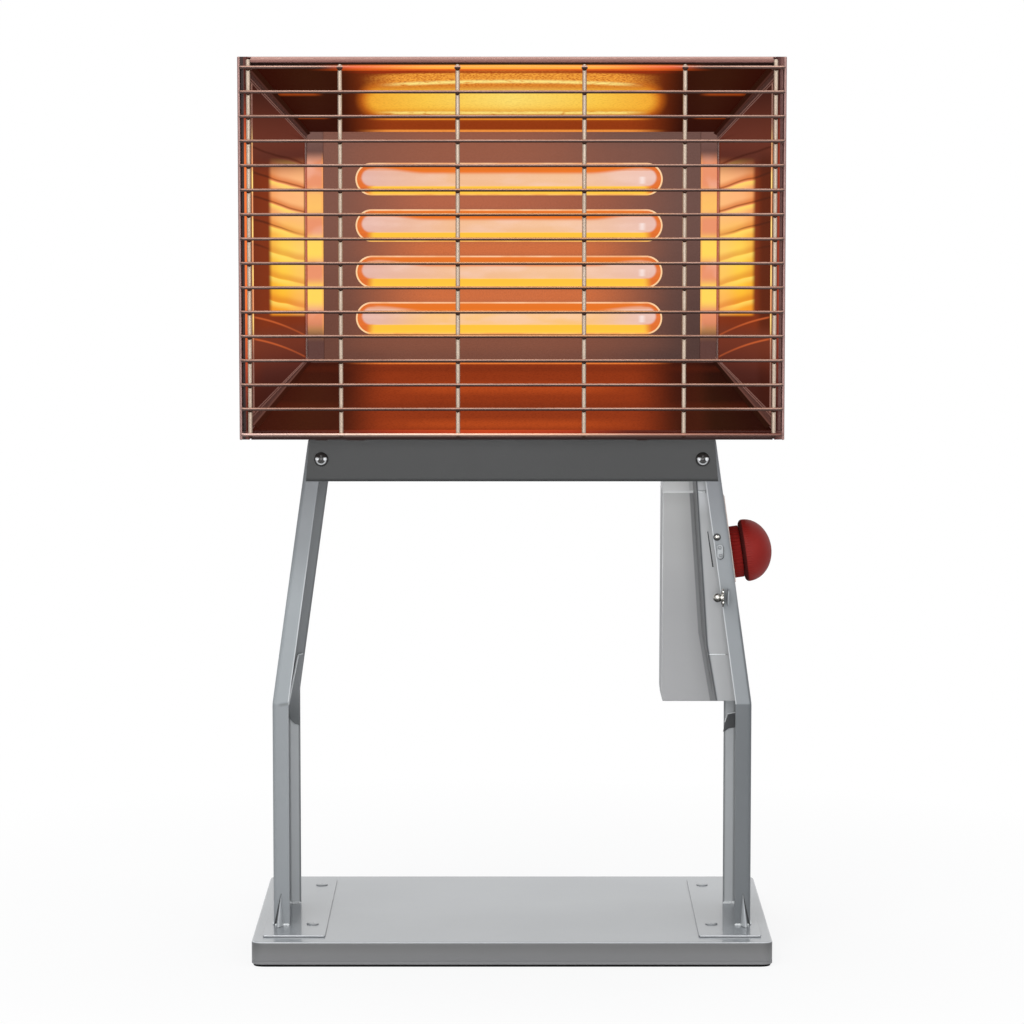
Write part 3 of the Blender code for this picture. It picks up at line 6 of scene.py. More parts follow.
import bmesh
import bpy
import numpy as np
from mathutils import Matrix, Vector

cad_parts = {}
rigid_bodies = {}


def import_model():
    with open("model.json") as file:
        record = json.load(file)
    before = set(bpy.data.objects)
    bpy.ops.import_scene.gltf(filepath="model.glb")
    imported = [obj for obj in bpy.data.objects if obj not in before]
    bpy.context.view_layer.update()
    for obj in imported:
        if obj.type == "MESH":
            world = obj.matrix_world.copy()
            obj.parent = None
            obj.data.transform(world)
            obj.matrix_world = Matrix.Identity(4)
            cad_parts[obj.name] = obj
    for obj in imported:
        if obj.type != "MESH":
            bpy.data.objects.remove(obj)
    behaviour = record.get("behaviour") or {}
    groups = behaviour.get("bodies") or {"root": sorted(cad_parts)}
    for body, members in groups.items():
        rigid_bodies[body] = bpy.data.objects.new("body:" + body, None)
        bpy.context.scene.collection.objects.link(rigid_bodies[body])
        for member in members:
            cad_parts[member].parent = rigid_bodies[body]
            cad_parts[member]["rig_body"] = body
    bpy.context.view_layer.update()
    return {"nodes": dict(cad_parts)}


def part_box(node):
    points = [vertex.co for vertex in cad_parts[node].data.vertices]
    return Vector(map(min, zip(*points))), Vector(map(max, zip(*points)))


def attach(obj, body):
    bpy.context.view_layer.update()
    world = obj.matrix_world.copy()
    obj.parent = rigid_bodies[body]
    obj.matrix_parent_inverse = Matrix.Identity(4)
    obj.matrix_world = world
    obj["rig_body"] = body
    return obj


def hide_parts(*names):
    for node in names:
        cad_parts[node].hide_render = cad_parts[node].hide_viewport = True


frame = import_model()

LEFT_AND_RIGHT = (("left", -1), ("right", 1))
# For X, Y and Z: which of first, second and height it takes
PLANES = {"XY": (0, 1, 2), "XZ": (0, 2, 1), "YZ": (2, 0, 1)}


def corners(node):
    """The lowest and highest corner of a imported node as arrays."""
    low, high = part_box(node)
    return np.array(low), np.array(high)


def middle_and_size(node):
    """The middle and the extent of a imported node's box."""
    low, high = corners(node)
    return (low + high) / 2, high - low


# Places of the stand
BASE_LOW, BASE_HIGH = corners("base_plate")
MAT_LOW, MAT_HIGH = corners("base_rubber_mat")
LEG_LOW, LEG_HIGH = corners("right_leg")
CROSS_LOW, CROSS_HIGH = corners("front_cross_plate")
BOX_LOW, BOX_HIGH = corners("control_box_body")
COVER_LOW, COVER_HIGH = corners("control_box_cover")
HOUSING_TOP_Z = corners("switch_housing")[1][2]
BRIDGE_FOOT_Z = corners("right_leg_gusset")[0][2]
LEG_FOOT_X = 0.178
LEG_BEND_Z = 0.187
LEG_FRONT_Y = -0.072
LEG_REAR_Y = 0.011
LEG_LEAN = 0.0275 / 0.196
LEG_SHEET = 0.0016
LEG_BEND_REACH = 0.0025
FRONT_FLANGE = 0.012
REAR_FLANGE = 0.0165
LUG_FLANGE = 0.019
LUG_LOW_Z = 0.3575
LUG_TAPER = 0.0025
RELIEF_Z = 0.362
TAB_END_Y = -0.045
CROSS_FACE_Y = -0.0738
HOUSING_FRONT_Y = -0.057
HOUSING_KNEE_Z = 0.2293
HOUSING_SEAM_Z = 0.222
BOX_LEFT_X = 0.113
BOX_TRIM = 0.003
BOX_SEAM_Z = 0.3370

# Places of the knob, on an axis square to the leg's web
KNOB_CENTRE = np.array([0.162777, -0.0305, 0.2955])
KNOB_AXIS = np.array([0.9903, 0.0, 0.138945])

# Places of the head
POST_LOW, POST_HIGH = corners("right_frame_post")
TOP_RAIL_LOW, TOP_RAIL_HIGH = corners("top_frame_rail")
LOW_RAIL_LOW, LOW_RAIL_HIGH = corners("bottom_frame_rail")
CASING_LOW, CASING_HIGH = corners("head_casing")
REAR_LOW, REAR_HIGH = corners("rear_cover")
PLATE_LOW, PLATE_HIGH = corners("slot_plate")
GUARD_LOW, GUARD_HIGH = corners("wire_guard")
OPENING_HALF = 0.1907
FUNNEL_REAR_HALF = 0.1532
FUNNEL_FRONT_Y = -0.1027
FUNNEL_REAR_Y = -0.0241
OPENING_LOW_Z = 0.3939
OPENING_HIGH_Z = 0.6576
FUNNEL_LOW_Z = 0.4375
FUNNEL_HIGH_Z = 0.6093
ELEMENT_Y = -0.011
ELEMENT_RADIUS = 0.006
SLOT_CENTRE_X = -0.0022
SLOT_LENGTH = 0.2274
SLOT_HEIGHT = 0.0228
SLOT_LOWEST_Z = 0.47085
SLOT_PITCH = 0.0345
SLOT_ROWS = SLOT_LOWEST_Z + SLOT_PITCH * np.arange(4)
GUARD_COLUMNS = (POST_HIGH[0] - 0.008) * np.array([-1.0, -0.6525, -0.2063, 0.2747, 0.6562, 1.0])


# Finishes: colours are six hex digits as on a screen, or three parts of linear light


def linear(colour):
    """A colour as three parts of linear light."""
    if not isinstance(colour, str):
        return colour
    shares = np.array([int(colour[i:i + 2], 16) for i in (0, 2, 4)]) / 255.0
    return tuple(np.where(shares <= 0.04045, shares / 12.92, ((shares + 0.055) / 1.055) ** 2.4).tolist())


def scaled(share, colour):
    """A colour with its light scaled by a share."""
    return tuple(share * part for part in linear(colour))


class Value:
    """One socket of a finish. The operators and methods add nodes that start from it."""

    def __init__(self, finish, socket):
        self.finish = finish
        self.socket = socket

    def math(self, operation, *others):
        """One step of arithmetic on this value and the others."""
        return self.finish.node("Math", {"operation": operation}, dict(enumerate((self, *others))))

    def __add__(self, other):
        return self.math("ADD", other)

    def __sub__(self, other):
        return self.math("SUBTRACT", other)

    def __rsub__(self, other):
        return self.finish.node("Math", {"operation": "SUBTRACT"}, {0: other, 1: self})

    def __mul__(self, other):
        return self.math("MULTIPLY", other)

    def __truediv__(self, other):
        return self.math("DIVIDE", other)

    def __abs__(self):
        return self.math("ABSOLUTE")

    __radd__ = __add__
    __rmul__ = __mul__

    def rise(self, low, high):
        """0 below low, 1 above high and smooth between them; it falls where low is above high."""
        limits = {0: self, 1: min(low, high), 2: max(low, high)}
        risen = self.finish.node("MapRange", {"interpolation_type": "SMOOTHSTEP"}, limits)
        return 1.0 - risen if low > high else risen

    def band(self, low, high, soft):
        """1 between two limits, falling to 0 over a soft border outside each."""
        return self.rise(low - soft, low) * self.rise(high + soft, high)

    def line(self, middle, width):
        """A soft-edged line about a middle."""
        return abs(self - middle).rise(width, 0.0)

    def apart(self, along):
        """How far off a point lies, from its distances along two axes."""
        return (self * self + along * along).math("SQRT")

    def ramp(self, *stops):
        """A colour that runs through the stops, each a place from 0 to 1 and a colour."""
        return self.finish.node("ValToRGB", {"stops": stops}, {0: self})


class Nodes:
    """A node tree, and the one method that adds its nodes."""

    def __init__(self, tree, clear=False):
        self.tree = tree
        if clear:
            tree.nodes.clear()

    def node(self, kind, settings=None, sockets=None, output=0):
        """A node of a kind, its settings set first, then the values or links of its sockets."""
        made = self.tree.nodes.new("ShaderNode" + kind)
        for key, value in (settings or {}).items():
            if key == "stops":
                self.fill_ramp(made.color_ramp, value)
            else:
                setattr(made, key, value)
        for key, value in (sockets or {}).items():
            self.plug(made.inputs[key], value)
        return Value(self, made.outputs[output] if made.outputs else None)

    def plug(self, socket, value):
        """Links a value to a socket, or sets the socket to a number, a vector or a colour."""
        if isinstance(value, Value):
            self.tree.links.new(value.socket, socket)
        elif socket.type == "RGBA":
            socket.default_value = (*linear(value), 1.0)
        else:
            socket.default_value = value

    def fill_ramp(self, ramp, stops):
        """Gives a colour ramp its stops."""
        while len(ramp.elements) < len(stops):
            ramp.elements.new(0.5)
        for element, (place, colour) in zip(ramp.elements, stops):
            element.position = place
            element.color = (*linear(colour), 1.0)


class Finish(Nodes):
    """One procedural material on the Principled shader; it keeps the name of the record's slot that it is meant
    for.
    """

    def __init__(self, name, slot, **sockets):
        self.material = bpy.data.materials.new(name)
        self.material.use_nodes = True
        super().__init__(self.material.node_tree)
        self.shader = self.tree.nodes["Principled BSDF"]
        self.slot = slot
        self.object_place = self.node("TexCoord", output="Object")
        self.x, self.y, self.z = self.parts(self.object_place)
        self.facing_x, self.facing_y, self.facing_z = self.parts(self.node("TexCoord", output="Normal"))
        self.set(**sockets)

    def parts(self, vector):
        """A vector's x, y and z."""
        split = self.node("SeparateXYZ", {}, {0: vector}).socket.node
        return [Value(self, socket) for socket in split.outputs]

    def set(self, **sockets):
        """Values or links for the shader's sockets; an underscore stands for a space."""
        for key, value in sockets.items():
            self.plug(self.shader.inputs[key.replace("_", " ")], value)
        return self

    def mix(self, share, first, second, blend="MIX"):
        """From the first colour to the second by a share from 0 to 1."""
        settings = {"data_type": "RGBA", "blend_type": blend}
        return self.node("Mix", settings, {0: share, 6: first, 7: second}, output=2)

    def layered(self, under, *layers):
        """A colour with each (share, colour) laid over it in turn."""
        for share, *colour_and_blend in layers:
            under = self.mix(share, under, *colour_and_blend)
        return under

    def repainted(self, *layers):
        """Lays each (share, colour) over the base colour so far."""
        under = Value(self, self.shader.inputs["Base Color"].links[0].from_socket)
        return self.set(Base_Color=self.layered(under, *layers))

    def glowing(self, under, *layers):
        """Sets the light given off: a colour and what is laid over it."""
        return self.set(Emission_Color=self.layered(under, *layers), Emission_Strength=1.0)

    def noise(self, scale, detail=2.0, stretch=(1.0, 1.0, 1.0)):
        """Noise from 0 to 1, about scale features to the metre, drawn out where stretch is small."""
        place = self.node("Mapping", {}, {0: self.object_place, 3: stretch})
        return self.node("TexNoise", {}, {"Vector": place, "Scale": scale, "Detail": detail})

    def flecks(self, scale):
        """The distance to the nearest of many scattered points, in cell sizes."""
        return self.node("TexVoronoi", {}, {"Vector": self.object_place, "Scale": scale})

    def edges(self, radius, low=0.02, high=0.35):
        """1 on sharp outer edges, from how far a rounded normal leans off the face's own one."""
        rounded_off = self.node("Bevel", {"samples": 4}, {"Radius": radius})
        face = self.node("NewGeometry", output="Normal")
        facing = self.node("VectorMath", {"operation": "DOT_PRODUCT"}, {0: rounded_off, 1: face}, "Value")
        return (1.0 - facing).rise(low, high)

    def bump(self, height, strength, distance=0.0002):
        """A normal that leans as if the surface rose by the height."""
        return self.node("Bump", {}, {"Strength": strength, "Distance": distance, "Height": height})

    def on_right(self):
        """0 on the object's left half and 1 on its right."""
        return self.x.rise(-0.01, 0.01)

    def outward(self):
        """How far a face looks away from the object's middle: 1 outwards, -1 inwards."""
        return self.facing_x * self.x.math("SIGN")

    def slot_row(self):
        """The height above the middle of the nearest slot."""
        return (self.z - SLOT_LOWEST_Z).math("WRAP", -SLOT_PITCH / 2, SLOT_PITCH / 2)

    def slot_wave(self):
        """A wave along the height: 1 at each slot's middle and -1 half way between two."""
        return ((self.z - SLOT_LOWEST_Z) * (2.0 * math.pi / SLOT_PITCH)).math("COSINE")


def stoved_paint(name, colour, edge_wear_and_light, gloss=0.32, peel=0.08, slot="grey_paint"):
    """Stoved enamel: fine orange peel, cloudy tone, dust flecks, and a paler rub on its edges."""
    made = Finish(name, slot, Coat_Weight=0.12, Coat_Roughness=0.18)
    cloud = made.noise(9.0, 4.0)
    fine = made.noise(900.0, 2.0)
    edge = made.edges(0.0006) * made.noise(160.0, 4.0).rise(0.42, 0.62)
    speck = made.flecks(420.0).rise(0.10, 0.04) * made.noise(60.0).rise(0.52, 0.62)
    tone = made.layered(
        colour, (cloud * 0.5, scaled(0.86, colour)), (speck * 0.25, scaled(0.7, colour)), (edge * 0.45, edge_wear_and_light)
    )
    rough = gloss + (cloud - 0.5) * 0.10 + fine * 0.05 + edge * 0.10
    return made.set(Base_Color=tone, Roughness=rough, Normal=made.bump(fine + cloud, peel, 0.0003))


def tray_enamel():
    """The stand's grey on the base, under a clear coat: painted shade in a neutral, deeper tone on the tray's
    skirt, a painted highlight line along the top's front edge, painted shade on the plates' side faces and
    painted light on their front faces, and a ring of painted shade round each floor screw."""
    made = stoved_paint("tray_enamel", "8e9296", "d4d6d8", 0.30, 0.0)
    drop = BASE_HIGH[2] - made.z
    # Painted shade on the skirt, a painted highlight along the top's front edge, painted shade on the plates'
    # side faces, painted light on their front faces and painted shade round the floor screws.
    skirt = drop.rise(0.0005, 0.0010)
    skirt_shade = drop.rise(0.0010, 0.0150).ramp((0.0, "5c5c5c"), (0.25, "666666"), (1.0, "777778"))
    on_top = made.z.rise(BASE_HIGH[2] - 0.0002, BASE_HIGH[2])
    front, rear = (middle_and_size(f"right_foot_screw_{end}")[0] for end in ("front", "rear"))
    lengthways = abs(made.y - (front[1] + rear[1]) / 2) - abs(rear[1] - front[1]) / 2
    ring = (abs(made.x) - front[0]).apart(lengthways).band(0.0033, 0.0044, 0.0007)
    made.repainted(
        (skirt, skirt_shade),
        (drop.rise(0.0001, 0.0002) * drop.rise(0.0006, 0.0003), "ced0d2"),
        (abs(made.facing_x).rise(0.5, 0.8) * on_top * 0.6, "606365"),
        (abs(made.facing_y).rise(0.5, 0.8) * on_top * 0.9, "ccced0"),
        (ring * 0.5, "686b6d"),
    )
    return made.set(Coat_Weight=0.55 - skirt * 0.50, Coat_Roughness=0.05)


def leg_enamel():
    """The legs' grey with painted light and shade: painted shade below the bends and on the right leg, along
    the right leg's outer edge, on the left leg under the head and in its bend's crease, and on the faces
    that look inwards; the rear flanges painted pale in the middle and shaded dark by the web and along
    their free edge, and a painted highlight along the front flanges' free edge above the bends."""
    made = stoved_paint("leg_enamel", "92979a", "d0d3d4", 0.38)
    z = made.z
    above = (z - LEG_BEND_Z).math("MAXIMUM", 0.0)
    inward = LEG_FOOT_X - above * LEG_LEAN - abs(made.x)
    low = z.rise(LEG_BEND_Z + 0.0008, LEG_BEND_Z - 0.0008)
    high = 1.0 - low
    right = made.on_right()
    rear = made.y.rise(-0.004, 0.002)
    front = 1.0 - rear
    # Painted shade along the right leg's outer edge, a painted highlight on the front flanges' free edge,
    # painted shade under the head, by the web, along the rear free edge, on the inward faces and in the bend's
    # crease.
    outer_edge_shade = inward.rise(0.0020, 0.0012) * z.band(0.192, 0.240, 0.030)
    free_edge_highlight = inward.rise(0.0110, 0.0116) * high * inward.rise(0.0130, 0.0124)
    shade_under_head = z.rise(0.262, 0.315) * 0.75 + z.rise(0.315, 0.350) * 0.25
    shadow = inward.rise(0.0098, 0.0082) + inward.rise(0.0146, 0.0158)
    inner_face_shade = made.outward().rise(-0.45, -0.8) * inward.rise(0.002, 0.004)
    crease = (z - inward * 0.16).line(LEG_BEND_Z - 0.0016, 0.0022) * inward.rise(0.0035, 0.0070)
    # Painted shade tones on the right leg, and painted light on the rear flanges below the bends.
    shaded_high_tone = made.mix(z.rise(0.290, 0.350), "828689", "75787c")
    low_tone = made.mix(z.rise(0.02, 0.17), "606467", "5b5f62")
    lit_rear_tone = made.mix(right, "c2c5c7", "b8bbbd")
    return made.repainted(
        (front * low, "83878a"),
        (front * right * high, shaded_high_tone),
        (front * right * low, low_tone),
        (front * right * outer_edge_shade * 0.7, "54585b"),
        (front * free_edge_highlight * 0.6, "ced1d3"),
        (front * (1.0 - right) * shade_under_head, "707376"),
        (rear, made.mix(low, "888b8d", lit_rear_tone)),
        (rear * shadow * 0.8, "707375"),
        (inner_face_shade * made.y.rise(-0.070, -0.066), "545658"),
        (front * crease * (1.0 - right) * 0.8, "686b6d"),
    )


def rib_enamel():
    """The foot ribs: painted light on the side that looks in."""
    made = stoved_paint("rib_enamel", "969a9d", "dcdfe0")
    return made.repainted((made.outward().rise(-0.1, -0.4) * 0.6, "c4c7c9"))


def knee_enamel():
    """The left knee plate in painted shade: mid grey by the leg's upper edge, deeper towards its foot."""
    made = stoved_paint("knee_enamel", "8c8f91", "bec0c1")
    return made.repainted((made.z.rise(0.190, 0.164), "6c6f71"))


def housing_enamel():
    """The switch cover's grey: pale on its front, with painted shade on the wall that looks inwards."""
    made = stoved_paint("housing_enamel", "b8babc", "dee0e1")
    return made.repainted((made.z.rise(0.340, 0.325), "a1a2a3"), (made.facing_x.rise(-0.30, -0.62), "4d4f51"))


def panel_enamel():
    """The control box's neutral grey, deeper towards its foot, with painted shade beside the switch housing's
    wall, which stands further out at each height by the first or the second of its straight runs, and
    painted light above the seam and along the rounded front edge."""
    made = stoved_paint("panel_enamel", "cccccb", "dedfdf", 0.40)
    runs = []
    for low, high in ((BRIDGE_FOOT_Z, HOUSING_KNEE_Z), (HOUSING_KNEE_Z, HOUSING_TOP_Z)):
        slope = (housing_x(high) - housing_x(low)) / (high - low)
        runs.append((made.z - low) * slope + housing_x(low))
    # Painted shade on the box's face beside the housing wall, painted light above the seam where the head's
    # shade falls, and painted light along the rounded front edge, paler higher up.
    wall_shade = (made.x - runs[0].math("MAXIMUM", runs[1])).rise(-0.0034, -0.0023)
    over_seam_light = made.z.rise(BOX_SEAM_Z - 0.001, BOX_SEAM_Z)
    crease = made.facing_x.rise(-0.22, -0.45) * made.facing_y.rise(-0.22, -0.45)
    edge_wear_and_light = made.mix(made.z.rise(0.225, 0.290), "bababa", "f4f4f4")
    return made.repainted(
        (over_seam_light, "f0f0ef"),
        (made.z.rise(0.345, 0.240), "a7a7a8"),
        (wall_shade * (0.9 - over_seam_light * 0.6), "7c7d7e"),
        (crease * 0.95, edge_wear_and_light),
    )


def copper_enamel(name="copper_enamel"):
    """Brown enamel with a metallic grain, reddened and rubbed pale along its edges."""
    made = Finish(name, "copper_paint", Metallic=0.45, Specular_IOR_Level=0.35)
    cloud = made.noise(14.0, 4.0)
    grain = made.noise(1500.0, 3.0)
    rolled = made.noise(70.0, 3.0, (0.15, 1.0, 1.0))
    edge = made.edges(0.0006) * made.noise(220.0, 4.0).rise(0.38, 0.6)
    tone = made.layered(
        "6c4640",
        (cloud, "58342e"),
        (grain.rise(0.55, 0.72) * 0.30, "a07266"),
        (rolled.rise(0.55, 0.8) * 0.25, "462622"),
        (edge * 0.6, "ceaca2"),
    )
    rough = 0.40 + (cloud - 0.5) * 0.12 + grain * 0.06
    return made.set(Base_Color=tone, Roughness=rough, Normal=made.bump(grain + rolled, 0.12, 0.0003))


def rail_enamel():
    """The head's brown on the rolled rails: a painted highlight along the top of the upper hem, painted shade
    near black below it, the lower rail darker all over, and a painted glow of the elements' light in the
    groove under the upper hem and along the lower rail's top."""
    made = copper_enamel("rail_enamel")
    z, reach = made.z, abs(made.x)
    under, top, low_top = TOP_RAIL_LOW[2], TOP_RAIL_HIGH[2], LOW_RAIL_HIGH[2]
    upper = z.rise(0.52, 0.54)
    lower = 1.0 - upper
    # A painted highlight on the upper hem, painted shade below it, and the lower rail darker.
    made.repainted(
        (upper * z.rise(top - 0.0036, top - 0.0008) * 0.45, "c69e92"),
        (upper * z.rise(top - 0.0036, top - 0.0047), "220c08"),
        (lower * 0.9, "28120e"),
    )
    # A painted glow of the elements' light in the groove and on the lower rail's top.
    lit = upper * z.rise(under + 0.0012, under + 0.0006) * reach.rise(0.150, 0.110)
    tone = (reach / 0.150).ramp((0.0, "feb742"), (0.6, "f07828"), (1.0, "6e1e0c"))
    low_tone = (abs(made.x + 0.020) / 0.160).ramp(
        (0.0, "c03e10"), (0.40, "a02e0c"), (0.65, "561606"), (1.0, "2a0803")
    )
    return made.glowing("000000", (lit, tone), (lower * z.rise(low_top - 0.0030, low_top - 0.0024), low_tone))


def post_enamel():
    """The head's brown on the posts: a painted highlight on the outer fold, painted shade in the groove, and
    the elements' light painted as a glow on the inner return, brightest half way up."""
    made = copper_enamel("post_enamel")
    side = abs(made.x)
    inner = side.band(OPENING_HALF + 0.0001, OPENING_HALF + 0.0028, 0.0003)
    groove = side.band(0.1937, 0.1958, 0.0003) * (0.30 + made.x.rise(0.01, -0.01) * 0.65)
    # A painted highlight on the outer fold and painted shade in the groove.
    made.repainted(
        (side.rise(POST_HIGH[0] - 0.0024, POST_HIGH[0] - 0.0016) * 0.35, "be9e98"),
        (groove, "180805"),
        (inner, "2e100a"),
    )
    height = made.z.rise(0.395, 0.500) * made.z.rise(0.645, 0.575)
    bright = height.ramp((0.0, "421810"), (0.4, "b04222"), (1.0, "f47634"))
    dull = height.ramp((0.0, "321410"), (1.0, "92321c"))
    return made.glowing("000000", (inner, made.mix(made.on_right(), bright, dull)))


def stained_steel(name, colour, rough=0.42, slot="reflector"):
    """Heat-stained brushed sheet: fine drawn lines across X, mottled tone, a sooty cloud."""
    made = Finish(name, slot, Metallic=0.2, Specular_IOR_Level=0.10)
    brushed = made.noise(1400.0, 3.0, (0.03, 1.0, 1.0))
    tone = made.layered(
        colour,
        (made.noise(22.0, 4.0) * 0.7, scaled(0.55, colour)),
        (brushed.rise(0.5, 0.75) * 0.3, scaled(1.5, colour)),
    )
    rough = rough + (brushed - 0.5) * 0.16
    return made.set(Base_Color=tone, Roughness=rough, Normal=made.bump(brushed, 0.15))


def top_reflector_steel():
    """The upper reflector, its look painted as light given off: a bright turned lip, then a painted reflection
    of the top element's light as one long soft patch between two streaks, a dark band behind it and a thin
    lit line along the plate."""
    made = stained_steel("top_reflector_steel", "120704")
    z, reach = made.z, abs(made.x + 0.0005)
    arched = z + reach * reach * 0.3
    grain = made.noise(1600.0, 2.0, (0.35, 1.0, 1.0))
    near = reach.rise(0.130, 0.086)
    warm = arched.band(0.6400, 0.6525, 0.0030) * reach.rise(0.112, 0.078)
    level = (z - 0.6325) / 0.0105
    oval = level.apart((reach - 0.096).math("MAXIMUM", 0.0) / 0.0130)
    core = made.layered(
        (reach / 0.115).ramp((0.0, "fddc6c"), (0.55, "fbc84a"), (1.0, "f2a22c")),
        (level.rise(0.0, -0.8) * 0.5, "fab432"),
    )
    uneven = made.noise(420.0, 3.0, (0.4, 1.0, 1.0)).rise(0.25, 0.50)
    lip = made.layered(
        (reach / 0.150).ramp((0.0, "feb742"), (0.6, "f27a2a"), (1.0, "6e1e0c")),
        (z.rise(0.6566, 0.6548) * 0.9, "e2561c"),
    )
    # Stray orange patches of painted reflected glow.
    stray_glow = z.line(0.6372, 0.0018) * reach.band(0.146, 0.166, 0.010)
    stray_glow = stray_glow + z.line(0.6200, 0.0016) * reach.band(0.140, 0.156, 0.008)
    return made.glowing(
        "2e0a04",
        (near, "923810"),
        (warm * 0.95, made.mix(grain.rise(0.42, 0.62), "fcac42", "ce7022")),
        (oval.rise(1.55, 0.80) * 0.85, "ce6a18"),
        (oval.rise(1.15, 0.40), core),
        (arched.line(0.6466, 0.0020) * reach.rise(0.100, 0.070) * uneven, "ffe88a"),
        (z.line(0.6236, 0.0019) * reach.rise(0.104, 0.080) * uneven, "ffe27c"),
        (z.line(0.6188, 0.0010) * reach.rise(0.110, 0.080) * 0.85, "f29634"),
        (z.line(0.6532, 0.0013) * near * 0.8, "96220e"),
        (z.rise(0.6538, 0.6550) * reach.rise(0.150, 0.100), lip),
        (z.line(0.6100, 0.0017) * reach.rise(0.118, 0.085), "fa9a42"),
        (stray_glow * 0.55, "c45418"),
        (grain.rise(0.46, 0.68) * 0.18, "783210", "MULTIPLY"),
    )


def bottom_reflector_steel():
    """The lower reflector: a painted dull red-orange glow in soft bars that dies off towards both ends."""
    made = stained_steel("bottom_reflector_steel", "220c08")
    z, reach = made.z, abs(made.x + 0.002)
    bars = z.line(0.4205, 0.0060) + z.line(0.3975, 0.0050)
    shade = z.line(0.4335, 0.0036) + z.line(0.4090, 0.0045)
    grain = made.noise(1500.0, 2.0, (0.4, 1.0, 1.0))
    return made.glowing(
        made.mix(made.x.rise(0.135, 0.150), "3a140a", "200905"),
        (reach.rise(0.128, 0.088), "8e3414"),
        (bars * reach.rise(0.110, 0.040) * 0.5, "c8521e"),
        (shade * 0.3, "5c200e"),
        (z.rise(0.4362, 0.4370) * reach.rise(0.125, 0.090), "ec8038"),
        (grain.rise(0.45, 0.7) * 0.3, "82422c", "MULTIPLY"),
    )


def corner_distance(made):
    """Across a corner strip: how much nearer the point is to the side than to the top or bottom
    reflector, below 0 on the side's half of the strip."""
    share = (made.y - FUNNEL_FRONT_Y) / (FUNNEL_REAR_Y - FUNNEL_FRONT_Y)
    from_side = OPENING_HALF - share * (OPENING_HALF - FUNNEL_REAR_HALF) - abs(made.x)
    above_low = made.z - share * (FUNNEL_LOW_Z - OPENING_LOW_Z) - OPENING_LOW_Z
    below_high = OPENING_HIGH_Z - share * (OPENING_HIGH_Z - FUNNEL_HIGH_Z) - made.z
    return from_side - above_low.math("MINIMUM", below_high)


def side_reflector_steel():
    """The side reflectors, their look painted as light given off: a painted glowing panel by the plate, crossed
    by painted slanted dark reflections of the guard's bars, which run on as faint lines over the dark sheet
    in front of it."""
    made = stained_steel("side_reflector_steel", "26100c")
    z = made.z
    depth = (abs(made.x) - FUNNEL_REAR_HALF) / (OPENING_HALF - FUNNEL_REAR_HALF)
    right = made.on_right()
    panel = depth.rise(0.68, 0.59) * (z - depth * 0.0045).rise(0.4715, 0.4745) * z.rise(0.592, 0.574)
    wander = (made.noise(24.0, 1.0) - 0.5) * 0.0045
    phase = ((z - depth * 0.0150 + wander - 0.4420) / 0.0177).math("FRACT")
    streak = phase.rise(0.40, 0.10) * phase.rise(0.0, 0.06) * (0.42 + z.rise(0.530, 0.560) * 0.26)
    warm = z.rise(0.466, 0.596).ramp(
        (0.0, "f69628"), (0.12, "ffc438"), (0.40, "ffd656"),
        (0.55, "fdc454"), (0.70, "fcb876"), (1.0, "fab07c"),
    )
    lit = made.layered(
        warm,
        (depth.rise(0.45, 0.05) * 0.35, "f8be82"),
        (depth.rise(0.40, 0.64) * 0.35, "e67c1e"),
        (phase.rise(0.70, 0.98) * depth.rise(0.0, 0.4) * 0.75, "ffde68"),
        (streak, "d0601c"),
        (phase.line(0.10, 0.06) * z.band(0.540, 0.600, 0.010) * 0.60, "6e240a"),
    )
    sunk = z - depth * 0.0193 - depth * (1.0 - depth) * 0.0085
    low_line = sunk.line(0.4573, 0.0012) + sunk.line(0.4413, 0.0012)
    low_line = low_line * depth.rise(0.98, 0.86) * (0.45 + depth.rise(0.15, 0.60) * 0.35)
    outer = made.layered(
        "4c241e",
        (z.band(0.470, 0.575, 0.020), "7a2e14"),
        (depth.rise(0.70, 1.0) * 0.5, "602212"),
        (right * depth.rise(0.66, 0.80) * 0.6, "36120a"),
        (z.rise(0.4715, 0.4600) * z.rise(0.430, 0.4550) * 0.8, "743422"),
        (z.rise(0.440, 0.415) * 0.8, "38160f"),
        (z.rise(0.585, 0.602) * 0.9, "643024"),
        (z.rise(0.602, 0.650), "341813"),
        (phase.line(0.10, 0.08) * z.band(0.530, 0.600, 0.01) * 0.7, "3a140c"),
        (low_line, "d06232"),
    )
    across = corner_distance(made)
    upper = z.rise(0.50, 0.54)
    near = made.mix(upper, "301814", "2e1512")
    far = made.mix(upper, "644038", "482822")
    low_end = made.mix(right, "341109", "220a05")
    strip = made.layered(
        near,
        (across.rise(-0.0045, -0.0012), far),
        (across.rise(-0.0009, -0.0003), made.mix(upper, low_end, "280c06")),
    )
    # The corner strips' own colour near black, so that only their painted glow shows.
    on_strip = abs(made.facing_z).rise(0.35, 0.45)
    made.repainted((on_strip * 0.9, "0c0503"))
    return made.glowing(outer, (panel, lit), (depth.rise(0.055, 0.030) * 0.7, "602410"), (on_strip, strip))


